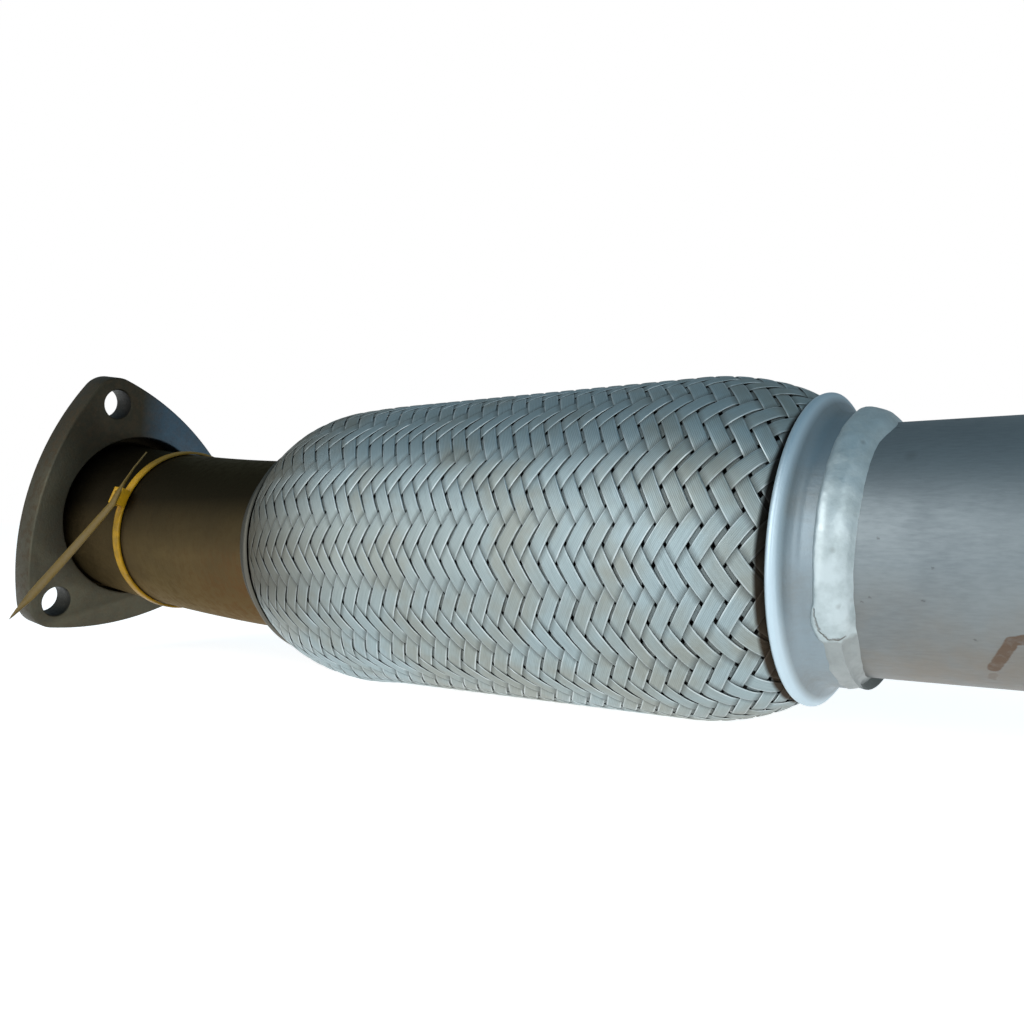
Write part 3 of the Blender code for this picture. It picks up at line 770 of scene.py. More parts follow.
def stroke(x, y, start, end, half):
    """A mask that is 1 within a half width of the line between two points, all in millimetres."""
    (x0, y0), (x1, y1) = ((a * MM, b * MM) for a, b in (start, end))
    dx, dy = x1 - x0, y1 - y0
    t = (((x - x0) * dx + (y - y0) * dy) / (dx * dx + dy * dy)).clamped()
    off_x = x - x0 - t * dx
    off_y = y - y0 - t * dy
    distance = (off_x * off_x + off_y * off_y) ** 0.5
    return (1.0 - (distance - half * MM) / (0.35 * MM)).clamped()


def paint_pipe(colours):
    """Satin steel with a fine drawn grain, cloudy patches, specks, one brown scuff near the open end, and a
    painted brown floor reflection low down.
    """
    tree, shader = new_material("outlet pipe steel", colours.pipe, 0.5, 0.85)
    clouds = shared(tree, "Clouds", Scale=38.0, Low=0.35, High=0.7)
    lines = shared(tree, "Brushing", Strength=1.6, Along=260.0, Across=1300.0)
    specks = shared(tree, "Specks", Scale=130.0, Share=0.04)
    cloudy = (clouds * 0.6 + (lines - 0.5) * 0.6).clamped()
    tone = blend_colours(tree, cloudy, colours.pipe, colours.pipe_dark)
    x, arc, z = unrolled(tree)
    # Painted reflection of a warm floor: the lower side is made browner, unevenly in blotches.
    blotch = shared(tree, "Clouds", Scale=60.0, Low=0.40, High=0.62)
    tone = blend_colours(tree, z.below(-2 * MM, 26 * MM) * (blotch * 0.45 + 0.4), tone, PIPE_FLOOR_REFLECTION)
    smooth_x, smooth_arc = unsteady(tree, x, arc, 0.7 * MM)
    x, arc = unsteady(tree, x, arc, 1.8 * MM)
    for along, round_pipe, half in (
        (21.8, 10.7, 0.10), (19.7, 12.1, 0.02), (24.2, -4.4, 0.10), (34.1, 10.7, 0.12), (36.5, 2.8, 0.05),
        (44.5, 21.0, 0.15), (23.4, -41.6, 0.25),
    ):
        pit = stroke(x, arc, (along, round_pipe), (along + 0.3, round_pipe), half)
        specks = specks.math("MAXIMUM", pit)
    tone = blend_colours(tree, specks * 0.45, tone, SPECK_TONE)
    scuff = stroke(smooth_x, smooth_arc, (47.3, 30.8), (52.4, 20.8), 1.3)
    scuff = scuff.math("MAXIMUM", stroke(smooth_x, smooth_arc, (52.4, 20.8), (66.0, 17.0), 1.25))
    scuff = scuff.math("MAXIMUM", stroke(x, arc, (46.2, 36.4), (46.8, 34.0), 0.7) * 0.4)
    patch = shared(tree, "Clouds", Scale=420.0, Low=0.25, High=0.5)
    tone = blend_colours(tree, scuff * (patch * 0.35 + 0.5), tone, SCUFF_TONE)
    coat(tree, shader, tone, lines * 0.10 + clouds * 0.06 + 0.42)
    bump(tree, shader, lines + specks * -2.0, 0.02 * MM, 0.7)


def paint_cap(name, base, blotch):
    """Satin steel with short ticks, faint stains and a brighter rim, painted as a highlight."""
    tree, shader = new_material(name, base, 0.46, 0.85)
    ticks = shared(tree, "Brushing", Strength=1.2, Along=150.0, Across=1000.0)
    grain = shared(tree, "Fine grain", Scale=1400.0, Strength=1.4)
    clouds = shared(tree, "Clouds", Scale=70.0, Low=0.42, High=0.68)
    _, y, z = split(tree, object_point(tree, ORIGIN))
    rim = ((y * y + z * z) ** 0.5 - PIPE_RADIUS).above(6.3 * MM, 2.2 * MM)
    # The rim's brighter copy of the base colour is a painted highlight.
    neck, bright = ([c * share for c in base] for share in (0.80, 1.8))
    tone = blend_colours(tree, (clouds * 0.45 + (ticks - 0.5) * 0.4).clamped(), neck, blotch)
    tone = blend_colours(tree, rim * 0.9, tone, bright)
    coat(tree, shader, tone, grain * 0.12 + clouds * 0.08 + 0.36)
    bump(tree, shader, grain + ticks * 0.8, 0.05 * MM, 0.7)


def paint_weld(colours):
    """Bright uneven weld metal with fine ripples, a few dark pits, and a crease where one run ends, with
    painted shade along it.
    """
    tree, shader = new_material("weld metal", colours.weld, 0.42, 0.8)
    clouds = shared(tree, "Clouds", Scale=160.0, Low=0.4, High=0.62)
    grain = shared(tree, "Fine grain", Scale=700.0, Strength=1.5)
    specks = shared(tree, "Specks", Scale=300.0, Share=0.10)
    x, arc, _ = unrolled(tree)
    x, arc = unsteady(tree, x, arc, 1.6 * MM)
    crease = stroke(x, arc, (9.0, 12.5), (9.7, 17.8), 0.12) * 0.7
    for start, end in (((9.7, 17.8), (11.6, 20.6)), ((11.6, 20.6), (15.0, 20.4))):
        crease = crease.math("MAXIMUM", stroke(x, arc, start, end, 0.10))
    tone = blend_colours(tree, clouds * 0.5, colours.weld, WELD_CLOUD)
    tone = blend_colours(tree, arc.above(20.5 * MM, 1.5 * MM) * 0.75, tone, WELD_DULL)
    # Dark pits, and painted shade along the crease.
    tone = blend_colours(tree, (specks * 0.35).math("MAXIMUM", crease * 0.8), tone, WELD_PIT_AND_CREASE_SHADE)
    coat(tree, shader, tone, grain * 0.2 + clouds * 0.12 + 0.28)
    bump(tree, shader, grain + specks * -1.0 + crease * -3.0, 0.07 * MM, 0.7)


def paint_braid(colours):
    """Fine parallel wires along each strip, brown stains, a darker heat-stained inlet end that is partly
    painted shade, painted shade where strips pass under others and in the crevices under the rims, brown
    low down as a painted floor reflection, and painted glints on strip edges.
    """
    tree, shader = new_material("braid wire", colours.braid, 0.5, 0.85)
    side, strip, along = (attribute(tree, name) for name in ("strip_across", "strip", "strip_along"))
    wires = (side * (math.pi * 4.5) + strip).math("SINE").math("ABSOLUTE")
    edge = side.math("ABSOLUTE").above(0.74, 0.2)
    clouds = shared(tree, "Clouds", Scale=30.0, Low=0.45, High=0.62)
    streak = joined(tree, along * 260.0, strip * 5.3 + side * 3.0)
    tint = Field(tree, noise_node(tree, streak).outputs[0])
    shade = ((1.0 - wires) * 0.34 + (tint - 0.5) * 0.6).clamped()
    tone = blend_colours(tree, shade, colours.braid, WIRE_SHADE)
    _, _, z = unrolled(tree)
    middle = (1.0 - (z + 2 * MM).math("ABSOLUTE") / (32 * MM)).clamped()
    warm = along.above(40 * MM, 160 * MM) * middle
    tone = blend_colours(tree, (clouds * 0.55).math("MAXIMUM", warm * 0.8), tone, colours.braid_stain)
    # Painted shade where a strip passes under the others.
    dip_shade = attribute(tree, "strip_rise").below(0.40, 0.5)
    tone = blend_colours(tree, dip_shade * 0.6, tone, WIRE_DIP_SHADE)
    glint = tint.above(0.42, 0.16) * 0.45 + 0.2
    tone = blend_colours(tree, edge * (1.0 - dip_shade) * glint, tone, WIRE_GLINT)
    # Painted shade in the crevices where the braid runs under the caps' rims: near black above, and brown
    # lower down as a painted floor reflection.
    darkening = ((4.1 * MM - z.math("MAXIMUM", 0.0) * 0.035 - along) / (0.9 * MM)).clamped()
    darkening = darkening.math("MAXIMUM", along.above(FLEX_LENGTH - 2.0 * MM, 0.9 * MM))
    # Brown heat-stained inlet end, kept to the middle and top of the braid, where its darkness is partly
    # painted shade.
    heated = along.above(FLEX_LENGTH - 58 * MM, 54 * MM) * z.above(-30 * MM, 16 * MM)
    tone = blend_colours(tree, heated * (clouds * 0.15 + 0.78), tone, WIRE_HEAT_STAIN_AND_SHADE)
    rim_shade_tone = blend_colours(tree, z.below(8 * MM, 30 * MM), RIM_SHADE_ABOVE, RIM_SHADE_FLOOR_REFLECTION)
    tone = blend_colours(tree, darkening * 0.96, tone, rim_shade_tone)
    rough = tint * 0.16 + 0.42 + darkening * 0.4 + dip_shade * 0.1 - edge * 0.12
    coat(tree, shader, tone, rough.clamped())
    tree.links.new((1.0 - darkening * 0.9 - heated * 0.75).clamped().socket, shader.inputs["Specular IOR Level"])
    tree.links.new((0.85 - heated * 0.6).socket, shader.inputs["Metallic"])
    tinge = blend_colours(tree, heated, (1.0, 1.0, 1.0), HEATED_TINT)
    tree.links.new(tinge, shader.inputs["Specular Tint"])
    bump(tree, shader, wires, 0.08 * MM, 0.6)


def paint_inlet(colours):
    """Olive-brown heated steel, partly darkened as painted shade, with painted shade on top, rustier low
    down near the flex, with fine lines.
    """
    tree, shader = new_material("inlet pipe steel", colours.inlet, 0.5, 0.75)
    clouds = shared(tree, "Clouds", Scale=45.0, Low=0.4, High=0.65)
    fine = shared(tree, "Clouds", Scale=300.0, Low=0.45, High=0.62)
    lines = shared(tree, "Brushing", Strength=1.3, Along=1500.0, Across=90.0)
    x, _, z = unrolled(tree)
    near = x.above(-270 * MM, 50 * MM) * z.below(4 * MM, 20 * MM)
    tone = blend_colours(tree, clouds * 0.5, colours.inlet, INLET_CLOUD)
    tone = blend_colours(tree, (near * 0.75 + 0.08) * (fine * 0.5 + 0.4), tone, colours.rust)
    # Painted shade: the pipe darker towards its top.
    tone = blend_colours(tree, z.above(-5 * MM, 24 * MM) * 0.97, tone, INLET_TOP_SHADE)
    coat(tree, shader, tone, lines * 0.15 + fine * 0.10 + 0.40)
    shader.inputs["Specular IOR Level"].default_value = 0.3
    shader.inputs["Specular Tint"].default_value = INLET_TINT
    bump(tree, shader, lines + fine * 0.4, 0.02 * MM, 0.6)


def paint_flange(colours):
    """Dark oxidised plate with a fine rough skin, browner edges, a painted bluish sheen beside one hole,
    and painted shade towards the top and on the walls of the holes.
    """
    tree, shader = new_material("flange steel", colours.flange, 0.55, 0.7)
    edge = attribute(tree, "cut_edge")
    hollow = attribute(tree, "hole_wall_shade")
    clouds = shared(tree, "Clouds", Scale=60.0, Low=0.4, High=0.65)
    grain = shared(tree, "Fine grain", Scale=1100.0, Strength=1.8)
    fine = shared(tree, "Clouds", Scale=330.0, Low=0.45, High=0.6)
    _, y, z = split(tree, object_point(tree, flange_frame().translation))
    # A painted bluish sheen on the upper part of the plate, to one side of the bore.
    blue_sheen = y.above(-3 * MM, 14 * MM) * z.above(8 * MM, 22 * MM)
    tone = blend_colours(tree, clouds * 0.5, colours.flange, FLANGE_CLOUD)
    # Painted shade: the plate darker towards its top.
    tone = blend_colours(tree, z.above(16 * MM, 20 * MM) * 0.82, tone, FLANGE_TOP_SHADE)
    tone = blend_colours(tree, blue_sheen * (1.0 - edge) * 0.85, tone, FLANGE_BLUE_SHEEN)
    tone = blend_colours(tree, edge * (fine * 0.3 + 0.6), tone, colours.flange_edge)
    tone = blend_colours(tree, fine * 0.12, tone, colours.rust)
    # Painted shade on the walls of the bolt holes and the bore.
    tone = blend_colours(tree, hollow * 0.75, tone, FLANGE_HOLE_SHADE)
    coat(tree, shader, tone, grain * 0.2 + clouds * 0.1 + 0.40)
    shader.inputs["Specular IOR Level"].default_value = 0.3
    bump(tree, shader, grain + fine * 0.5, 0.05 * MM, 0.8)


def paint_thin_steel():
    """Thin bright steel of the hidden bellows and liner, dulled by soot."""
    tree, shader = new_material("bellows steel", (0.30, 0.29, 0.27), 0.45, 1.0)
    darkening = shared(tree, "Clouds", Scale=50.0, Low=0.3, High=0.6)
    grain = shared(tree, "Fine grain", Scale=900.0, Strength=1.2)
    coat(tree, shader, blend_colours(tree, darkening * 0.8, THIN_STEEL, THIN_SOOT), grain * 0.2 + 0.38)


def paint_nylon(name, clean, dirt_and_shade_tone):
    """Moulded nylon, soiled in patches, with painted shade all over on top of the pipe."""
    tree, shader = new_material(name, clean, 0.42, 0.0)
    clouds = shared(tree, "Clouds", Scale=190.0, Low=0.45, High=0.7)
    grain = shared(tree, "Fine grain", Scale=1500.0, Strength=1.0)
    _, _, z = unrolled(tree)
    # Dirt in patches, and painted shade all over on top of the pipe.
    dirt_and_top_shade = (clouds * 0.5).math("MAXIMUM", z.above(27 * MM, 9 * MM) * 0.85)
    coat(tree, shader, blend_colours(tree, dirt_and_top_shade, clean, dirt_and_shade_tone), grain * 0.2 + 0.32)
    bump(tree, shader, grain, 0.02 * MM, 0.5)
    shader.inputs["Specular IOR Level"].default_value = 0.3
    shader.inputs["Subsurface Weight"].default_value = 0.1
    shader.inputs["Subsurface Radius"].default_value = (0.001, 0.0007, 0.0003)


def finish_named(name):
    """A finish made by the finishes' operator."""
    found = bpy.data.materials.get(name)
    if found is None:
        raise RuntimeError("make the finishes first: " + name)
    return found


# Operators, one for each piece or group of like pieces


class ExhaustOperator:
    """What the piece makers share."""

    bl_options = {"REGISTER", "UNDO"}


class EXHAUST_OT_finishes(ExhaustOperator, bpy.types.Operator):
    """Makes the shared effects and every finish"""

    bl_idname = "exhaust.finishes"
    bl_label = "Finishes"

    def execute(self, context):
        colours = context.scene.exhaust_colours
        for build in (build_clouds, build_grain, build_brushing, build_specks):
            build()
        for paint in (paint_pipe, paint_weld, paint_braid, paint_inlet, paint_flange):
            paint(colours)
        paint_cap("cap steel", colours.cap, CAP_STAIN)
        paint_cap("dark cap steel", colours.dark_cap, DARK_CAP_STAIN)
        paint_thin_steel()
        paint_nylon("tie nylon", colours.tie, TIE_DIRT_AND_SHADE)
        # The tail's nylon is a darker copy of the tie's, as painted shade.
        paint_nylon("tail nylon", colours.tail, TAIL_DIRT_AND_SHADE)
        return {"FINISHED"}


class EXHAUST_OT_outlet_pipe(ExhaustOperator, bpy.types.Operator):
    """Straight outlet pipe with a square cut end"""

    bl_idname = "exhaust.outlet_pipe"
    bl_label = "Outlet pipe"

    def execute(self, context):
        inner = PIPE_RADIUS - PIPE_WALL
        profile = [
            (PIPE_OVERLAP, PIPE_RADIUS), (-OUTLET_LENGTH, PIPE_RADIUS), (-OUTLET_LENGTH, inner),
            (PIPE_OVERLAP, inner),
        ]
        piece = turned("outlet_tube", rounded(profile, 0.35 * MM), context.scene.exhaust_sizes.round_steps)
        finish_piece(piece, "outlet pipe steel", "pipe_assembly", "pipe_steel", "outlet_pipe")
        return {"FINISHED"}


class EXHAUST_OT_inlet_pipe(ExhaustOperator, bpy.types.Operator):
    """Bent inlet pipe with its flat flared lip"""

    bl_idname = "exhaust.inlet_pipe"
    bl_label = "Inlet pipe"

    def execute(self, context):
        start = FLEX_LENGTH - PIPE_OVERLAP
        face = FLANGE_MIDDLE + FLANGE_THICKNESS / 2
        lip = face + LIP_GAP
        end = lip + LIP_THICKNESS
        bore = PIPE_RADIUS - PIPE_WALL
        outer = long_profile([(start, PIPE_RADIUS), (face - 2.5 * MM, PIPE_RADIUS)], 5 * MM)
        outer += [
            (face - 1.2 * MM, PIPE_RADIUS + 0.10 * MM),
            (face, PIPE_RADIUS + 0.45 * MM),
            (lip, PIPE_RADIUS + 1.5 * MM),
            (lip, PIPE_RADIUS + LIP_HEIGHT),
            (end, PIPE_RADIUS + LIP_HEIGHT),
        ]
        inner = [(end, PIPE_RADIUS), (end - 0.75 * MM, PIPE_RADIUS - 1.1 * MM)]
        inner += long_profile([(end - 2.5 * MM, bore), (start, bore)], 5 * MM)
        steps = context.scene.exhaust_sizes.round_steps
        piece = turned("inlet_tube", rounded(outer + inner, 0.4 * MM), steps)
        finish_piece(piece, "inlet pipe steel", "pipe_assembly", "inlet_steel", "inlet_pipe")
        return {"FINISHED"}


def cap_profile(sleeve, rim_radius):
    """Spun cap's section as (distance into the flex, radius): rolled rim, hollow neck, short sleeve."""
    rim = rim_radius - SLEEVE_OUTER
    outer = [
        (0.12, -0.12), (0.05, -0.04), (-0.05, 0.0), (-0.15, -0.02), (-0.25, -0.16), (-0.35, -0.42),
        (-0.46, -0.68), (-0.61, -0.90), (-0.80, -1.0),
    ]
    inner = [(-0.66, 0.0), (-0.48, 0.15), (-0.35, 0.45), (-0.22, 0.80), (-0.06, 0.96)]
    shape = [(s * CRIMP_LENGTH, rim_radius + r * rim) for s, r in outer]
    shape += [(-sleeve, SLEEVE_OUTER), (-sleeve, SLEEVE_INNER)]
    shape += [(s * CRIMP_LENGTH, SLEEVE_INNER + r * rim) for s, r in inner]
    return rounded(shape, 0.9 * MM, 4)


class EXHAUST_OT_caps(ExhaustOperator, bpy.types.Operator):
    """End caps that clamp the braid"""

    bl_idname = "exhaust.caps"
    bl_label = "End caps"

    def execute(self, context):
        steps = context.scene.exhaust_sizes.round_steps

        def dent(s, radius, angle):
            """A slightly uneven skin."""
            place = Vector((s * 60, math.cos(angle), math.sin(angle)))
            return 0.0, 0.12 * MM * wear(place, 0.35, 5) - 0.06 * MM

        outlet_shape = cap_profile(OUTLET_SLEEVE, OUTLET_RIM_RADIUS)
        inlet_shape = cap_profile(INLET_SLEEVE, INLET_RIM_RADIUS)
        inlet_shape = [(FLEX_LENGTH - s, radius) for s, radius in inlet_shape]
        for name, shape, finish, node in (
            ("outlet_cap", outlet_shape, "cap steel", "outlet_collar"),
            ("inlet_cap", inlet_shape, "dark cap steel", "inlet_collar"),
        ):
            piece = turned(name, shape, steps, dent, 60, True)
            finish_piece(piece, finish, "pipe_assembly", "collar_steel", node)
        return {"FINISHED"}


def uneven_bead(s, radius, angle):
    """Shift of a bead's point: ragged edges, a blob on top, a thick end where the next run starts thin."""
    foot = PIPE_RADIUS + 0.01 * MM
    if radius < SLEEVE_OUTER and s > -16 * MM:
        return 0.0, 0.0
    degrees = math.degrees(angle)
    ring = Vector((math.cos(angle), math.sin(angle), 0.0))
    side = (s + 14.0 * MM) / (4.7 * MM)
    edge = 0.8 * MM * wear(ring, 0.45, 2) + 0.3 * MM * wear(ring, 0.09, 4)
    ds = edge * side * 0.7
    high = limited((radius - foot) / (2 * MM))
    dr = 0.22 * MM * wear(ring + Vector((0, 0, s * 30)), 0.10, 7)
    dr += 0.2 * MM * wear(ring, 0.35, 9) - 0.06 * MM
    blob = math.exp(-((degrees - 110) / 12) ** 2)
    ds -= 2.0 * MM * blob * max(0.0, -side) + 0.8 * MM * blob * max(0.0, side)
    dr += 0.65 * MM * blob
    thick = math.exp(-((degrees - 206) / 7) ** 2)
    ds += 0.9 * MM * thick * max(0.0, side)
    dr += 0.45 * MM * thick
    thin = limited((degrees - 212) / 4) * limited((350 - degrees) / 40)
    narrow = limited((degrees - 222) / 40) * thin
    far = limited((degrees - 262) / 20) * thin
    ds -= (narrow * 0.33 + far * 0.14) * min(0.0, s + BEAD_START)
    dr -= (0.80 * thin + 0.35 * far) * MM
    return ds, dr * high


class EXHAUST_OT_welds(ExhaustOperator, bpy.types.Operator):
    """Hand-laid bead at the outlet and a small fillet at the inlet"""

    bl_idname = "exhaust.welds"
    bl_label = "Weld beads"

    def execute(self, context):
        steps = context.scene.exhaust_sizes.round_steps
        over = SLEEVE_OUTER + 0.05 * MM
        foot = PIPE_RADIUS + 0.01 * MM
        crest = [
            (0.0, 0.0), (0.3, 0.45), (0.9, 0.8), (1.8, 1.0), (2.8, 1.0), (3.9, 0.8), (5.0, 0.4),
            (6.0, -0.2), (6.9, -0.95), (7.7, -1.8), (8.4, -2.7), (8.9, -3.5),
        ]
        shape = [(-BEAD_START - s * MM, over + r * 0.9 * MM) for s, r in crest]
        shape += [(-18.7 * MM, foot), (-12.0 * MM, foot), (-12.0 * MM, over)]
        bead = turned("outlet_bead", shape, 2 * steps, uneven_bead, 70, True)
        finish_piece(bead, "weld metal", "pipe_assembly", "weld_metal", "outlet_weld_bead")
        start = FLEX_LENGTH + INLET_SLEEVE + 0.3 * MM
        shape = [
            (start, foot), (start + 2.3 * MM, foot), (start + 1.7 * MM, foot + 0.7 * MM),
            (start + 1.0 * MM, foot + 1.7 * MM), (start, foot + 2.6 * MM),
        ]
        fillet = turned("inlet_bead", shape, steps, None, 70, True)
        finish_piece(fillet, "dark cap steel", "pipe_assembly", "weld_metal", "inlet_weld_bead")
        return {"FINISHED"}


class EXHAUST_OT_braid(ExhaustOperator, bpy.types.Operator):
    """Woven sleeve: flat strips of fine wire, leaning both ways, each over two and under two"""

    bl_idname = "exhaust.braid"
    bl_label = "Braid"

    def execute(self, context):
        sizes = context.scene.exhaust_sizes
        tree = build_strip_tree()
        for name, hand in (("braid_rising_strips", 1.0), ("braid_falling_strips", -1.0)):
            piece = from_nodes(name, tree, {
                "Strips": sizes.strips,
                "Hand": hand,
                "Width": sizes.strip_width,
                "Thickness": sizes.strip_thickness,
                "Lift": sizes.strip_lift,
                "Pitch": sizes.weave_pitch,
                "Radius": sizes.braid_radius,
                "Length": FLEX_LENGTH,
            })
            finish_piece(piece, "braid wire", "pipe_assembly", "braid_steel", "braid_sleeve")
        return {"FINISHED"}


class EXHAUST_OT_inner_tubes(ExhaustOperator, bpy.types.Operator):
    """Folded-joint liner inside the flex, and a finish for the bellows"""

    bl_idname = "exhaust.inner_tubes"
    bl_label = "Liner and bellows"

    def execute(self, context):
        pitch = context.scene.exhaust_sizes.liner_pitch
        first, last = -3 * MM, FLEX_LENGTH + 3 * MM
        radius = PIPE_RADIUS - PIPE_WALL - 0.35 * MM
        folds_outside = ((0.0, 0.0), (0.8, 0.0), (0.86, 0.3), (0.96, 0.3))
        folds_inside = ((0.0, 1.0), (0.25, 1.0), (0.28, 0.65), (0.97, 0.65))
        starts = [first + k * pitch for k in range(int((last - first) / pitch))]
        outer, inner = (
            [(s + share * pitch, radius - depth * MM) for s in starts for share, depth in folds]
            for folds in (folds_outside, folds_inside)
        )
        piece = turned("liner_tube", outer + inner[::-1], 96, smooth=30)
        finish_piece(piece, "bellows steel", "pipe_assembly", "bellows_steel", "inner_liner")
        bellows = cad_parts["bellows"]
        bellows.data.materials.clear()
        bellows.data.materials.append(finish_named("bellows steel"))
        return {"FINISHED"}


def flange_frame():
    """Matrix whose X is away, whose Y is up, and whose Z is the pipe's axis towards the outlet."""
    centre, pitch = spine(FLANGE_MIDDLE)
    up = Vector((math.sin(pitch), 0.0, math.cos(pitch)))
    return standing(ORIGIN + centre + FLANGE_LIFT * up, Vector((0.0, 1.0, 0.0)), up)


def on_circle(centre, radius, angle):
    """A point of a circle in the plane."""
    return centre + radius * Vector((math.cos(angle), math.sin(angle)))


def flange_outline():
    """Rounded triangle with each corner arc centred on its bolt hole and flat arcs between the corners."""
    middle = Vector((0.0, 0.0))
    half = BOLT_CIRCLE * math.sin(math.pi / 3)
    lever = SIDE_RADIUS - CORNER_RADIUS
    behind = math.sqrt(lever * lever - half * half) - BOLT_CIRCLE * math.cos(math.pi / 3)
    spread = math.asin(half / lever)
    sweep = math.pi / 3 - spread
    points = []
    holes = []
    for k in range(3):
        corner = FLANGE_ROLL + 2 * math.pi * k / 3
        side = corner + math.pi / 3
        hole = on_circle(middle, BOLT_CIRCLE, corner)
        holes.append(hole)
        centre = on_circle(middle, -behind, side)
        corner_turns = spaced(corner - sweep, corner + sweep, 25)
        side_turns = spaced(side - spread, side + spread, 33)[1:-1]
        points += [on_circle(hole, CORNER_RADIUS, a) for a in corner_turns]
        points += [on_circle(centre, SIDE_RADIUS, a) for a in side_turns]
    return points, holes


class EXHAUST_OT_flange(ExhaustOperator, bpy.types.Operator):
    """Thick loose flange with softened cut edges, a wide bore and bolt holes"""

    bl_idname = "exhaust.flange"
    bl_label = "Flange"

    def execute(self, context):
        outline, holes = flange_outline()
        piece = prism("flange_plate", outline, FLANGE_THICKNESS / 2)
        bore = PIPE_RADIUS + BORE_PLAY
        rings = [(bore, Vector((0, 0)), 128)]
        rings += [(BOLT_HOLE_RADIUS, hole, 64) for hole in holes]
        cutters = []
        for radius, centre, steps in rings:
            shape = [on_circle(centre, radius, 2 * math.pi * j / steps) for j in range(steps)]
            cutters.append(prism("flange_cutter", shape, FLANGE_THICKNESS))
        cut_out(piece, cutters)
        soften(piece, 0.8 * MM, 50)
        mesh = piece.data
        edge = mesh.attributes.new("cut_edge", "FLOAT", "FACE")
        # The walls of the holes and the bore are marked for painted shade in the flange's finish.
        hollow = mesh.attributes.new("hole_wall_shade", "FLOAT", "FACE")
        for face in mesh.polygons:
            steep = 1.0 - min(1.0, abs(face.normal.z) * 1.3)
            flat = Vector((face.center.x, face.center.y))
            near_hole = any((flat - hole).length < BOLT_HOLE_RADIUS + 0.75 * MM for hole in holes)
            inside = near_hole or flat.length < bore + 0.5 * MM
            edge.data[face.index].value = 0.0 if inside else steep
            hollow.data[face.index].value = steep if inside else 0.0
        place_mesh(piece, flange_frame(), 35)
        finish_piece(piece, "flange steel", "flange", "flange_steel", "inlet_flange")
        return {"FINISHED"}


class EXHAUST_OT_cable_tie(ExhaustOperator, bpy.types.Operator):
    """Cable tie: strap, ratchet head and long tail"""

    bl_idname = "exhaust.cable_tie"
    bl_label = "Cable tie"

    def execute(self, context):
        inner, outer, half = PIPE_RADIUS + 0.3 * MM, PIPE_RADIUS + 1.5 * MM, 2.3 * MM
        edge = outer - 0.35 * MM
        section = ((-1, inner), (-1, edge), (-0.6, outer), (0.6, outer), (1, edge), (1, inner))
        profile = [(TIE_PLACE + share * half, radius) for share, radius in section]
        strap = turned("tie_strap", rounded(profile, 0.25 * MM), context.scene.exhaust_sizes.round_steps)
        finish_piece(strap, "tie nylon", "pipe_assembly", "yellow_nylon", "cable_tie")
        finish_piece(self.make_head(), "tie nylon", "pipe_assembly", "yellow_nylon")
        finish_piece(self.make_tail(), "tail nylon", "pipe_assembly", "yellow_nylon")
        return {"FINISHED"}

    def make_head(self):
        """Ratchet head with softened edges and the slot that the tail leaves by."""
        faces = [(0, 1, 3, 2), (4, 6, 7, 5), (0, 4, 5, 1), (2, 3, 7, 6), (0, 2, 6, 4), (1, 5, 7, 3)]

        def box(name, place, reach):
            """A box, with its place and reach as shares of the head's size."""
            corners = [Vector((x, y, z)) * 0.5 for x in (-1, 1) for y in (-1, 1) for z in (-1, 1)]
            points = [HEAD_SIZE * (c * Vector(reach) + Vector(place)) for c in corners]
            return mesh_object(name, points, faces)

        head = box("tie_head", (0, 0, 0), (1, 1, 1))
        cut_out(head, [
            box("head_cutter", (0, 0.2, 0.45), (0.52, 0.22, 0.5)),
            box("head_cutter", (0, -0.22, 0.45), (0.52, 0.10, 0.4)),
        ])
        soften(head, 1.4 * MM, 30)
        out = (around(TIE_PLACE, 1.0, HEAD_ANGLE) - around(TIE_PLACE, 0.5, HEAD_ANGLE)).normalized()
        _, pitch = spine(TIE_PLACE)
        along = Vector((-math.cos(pitch), 0.0, math.sin(pitch)))
        middle = around(TIE_PLACE, PIPE_RADIUS + 0.9 * MM + HEAD_SIZE.z / 2, HEAD_ANGLE)
        place_mesh(head, standing(middle, along, out.cross(along).normalized()), 40)
        return head

    def make_tail(self):
        """Long flat tail: a thin end above the head, then a straight strip down to its pointed tip."""
        height = PIPE_RADIUS + 4.1 * MM
        away = height * math.cos(HEAD_ANGLE) - 3.2 * MM
        up = height * math.sin(HEAD_ANGLE) - 3.2 * MM
        start = TIE_PLACE - 1.5 * MM
        path = [(1.5, 15.9, 23.0, 0.25), (0.4, 9.5, 16.0, 0.3), (0.0, 5.0, 9.5, 0.5), (-0.2, 2.0, 4.5, 1.7)]
        for q in (0.0, 0.1, 0.2, 0.35, 0.5, 0.65, 0.78, 0.85, 0.92, 0.97, 1.0):
            wide = 1.9 + 0.5 * min(1.0, q / 0.5)
            if q > 0.78:
                wide = 2.4 * (1.0 - (q - 0.78) / 0.225)
            path.append((q * 34, q * -24, q * -55, wide))
        middles = [across(start + a * MM, away + o * MM, up + r * MM) for a, o, r, _ in path]
        section = (
            (0.8, 1), (1, 0.4), (1, -0.4), (0.8, -1), (-0.8, -1), (-1, -0.4), (-1, 0.4), (-0.8, 1),
        )
        points = []
        for k, middle in enumerate(middles):
            wide = path[k][3] * MM
            along = (middles[min(k + 1, len(path) - 1)] - middles[max(k - 1, 0)]).normalized()
            flat = along.cross(Vector((0.0, -1.0, 0.0))).normalized()
            thick = flat.cross(along).normalized() * min(0.55 * MM, wide)
            for a, b in section:
                points.append(middle + flat * wide * a + thick * b)
        faces = [tuple(range(8)), tuple(range(len(points) - 8, len(points)))]
        return mesh_object("tie_tail", points, faces + ring_faces(len(path), 8, closed=False), 50)


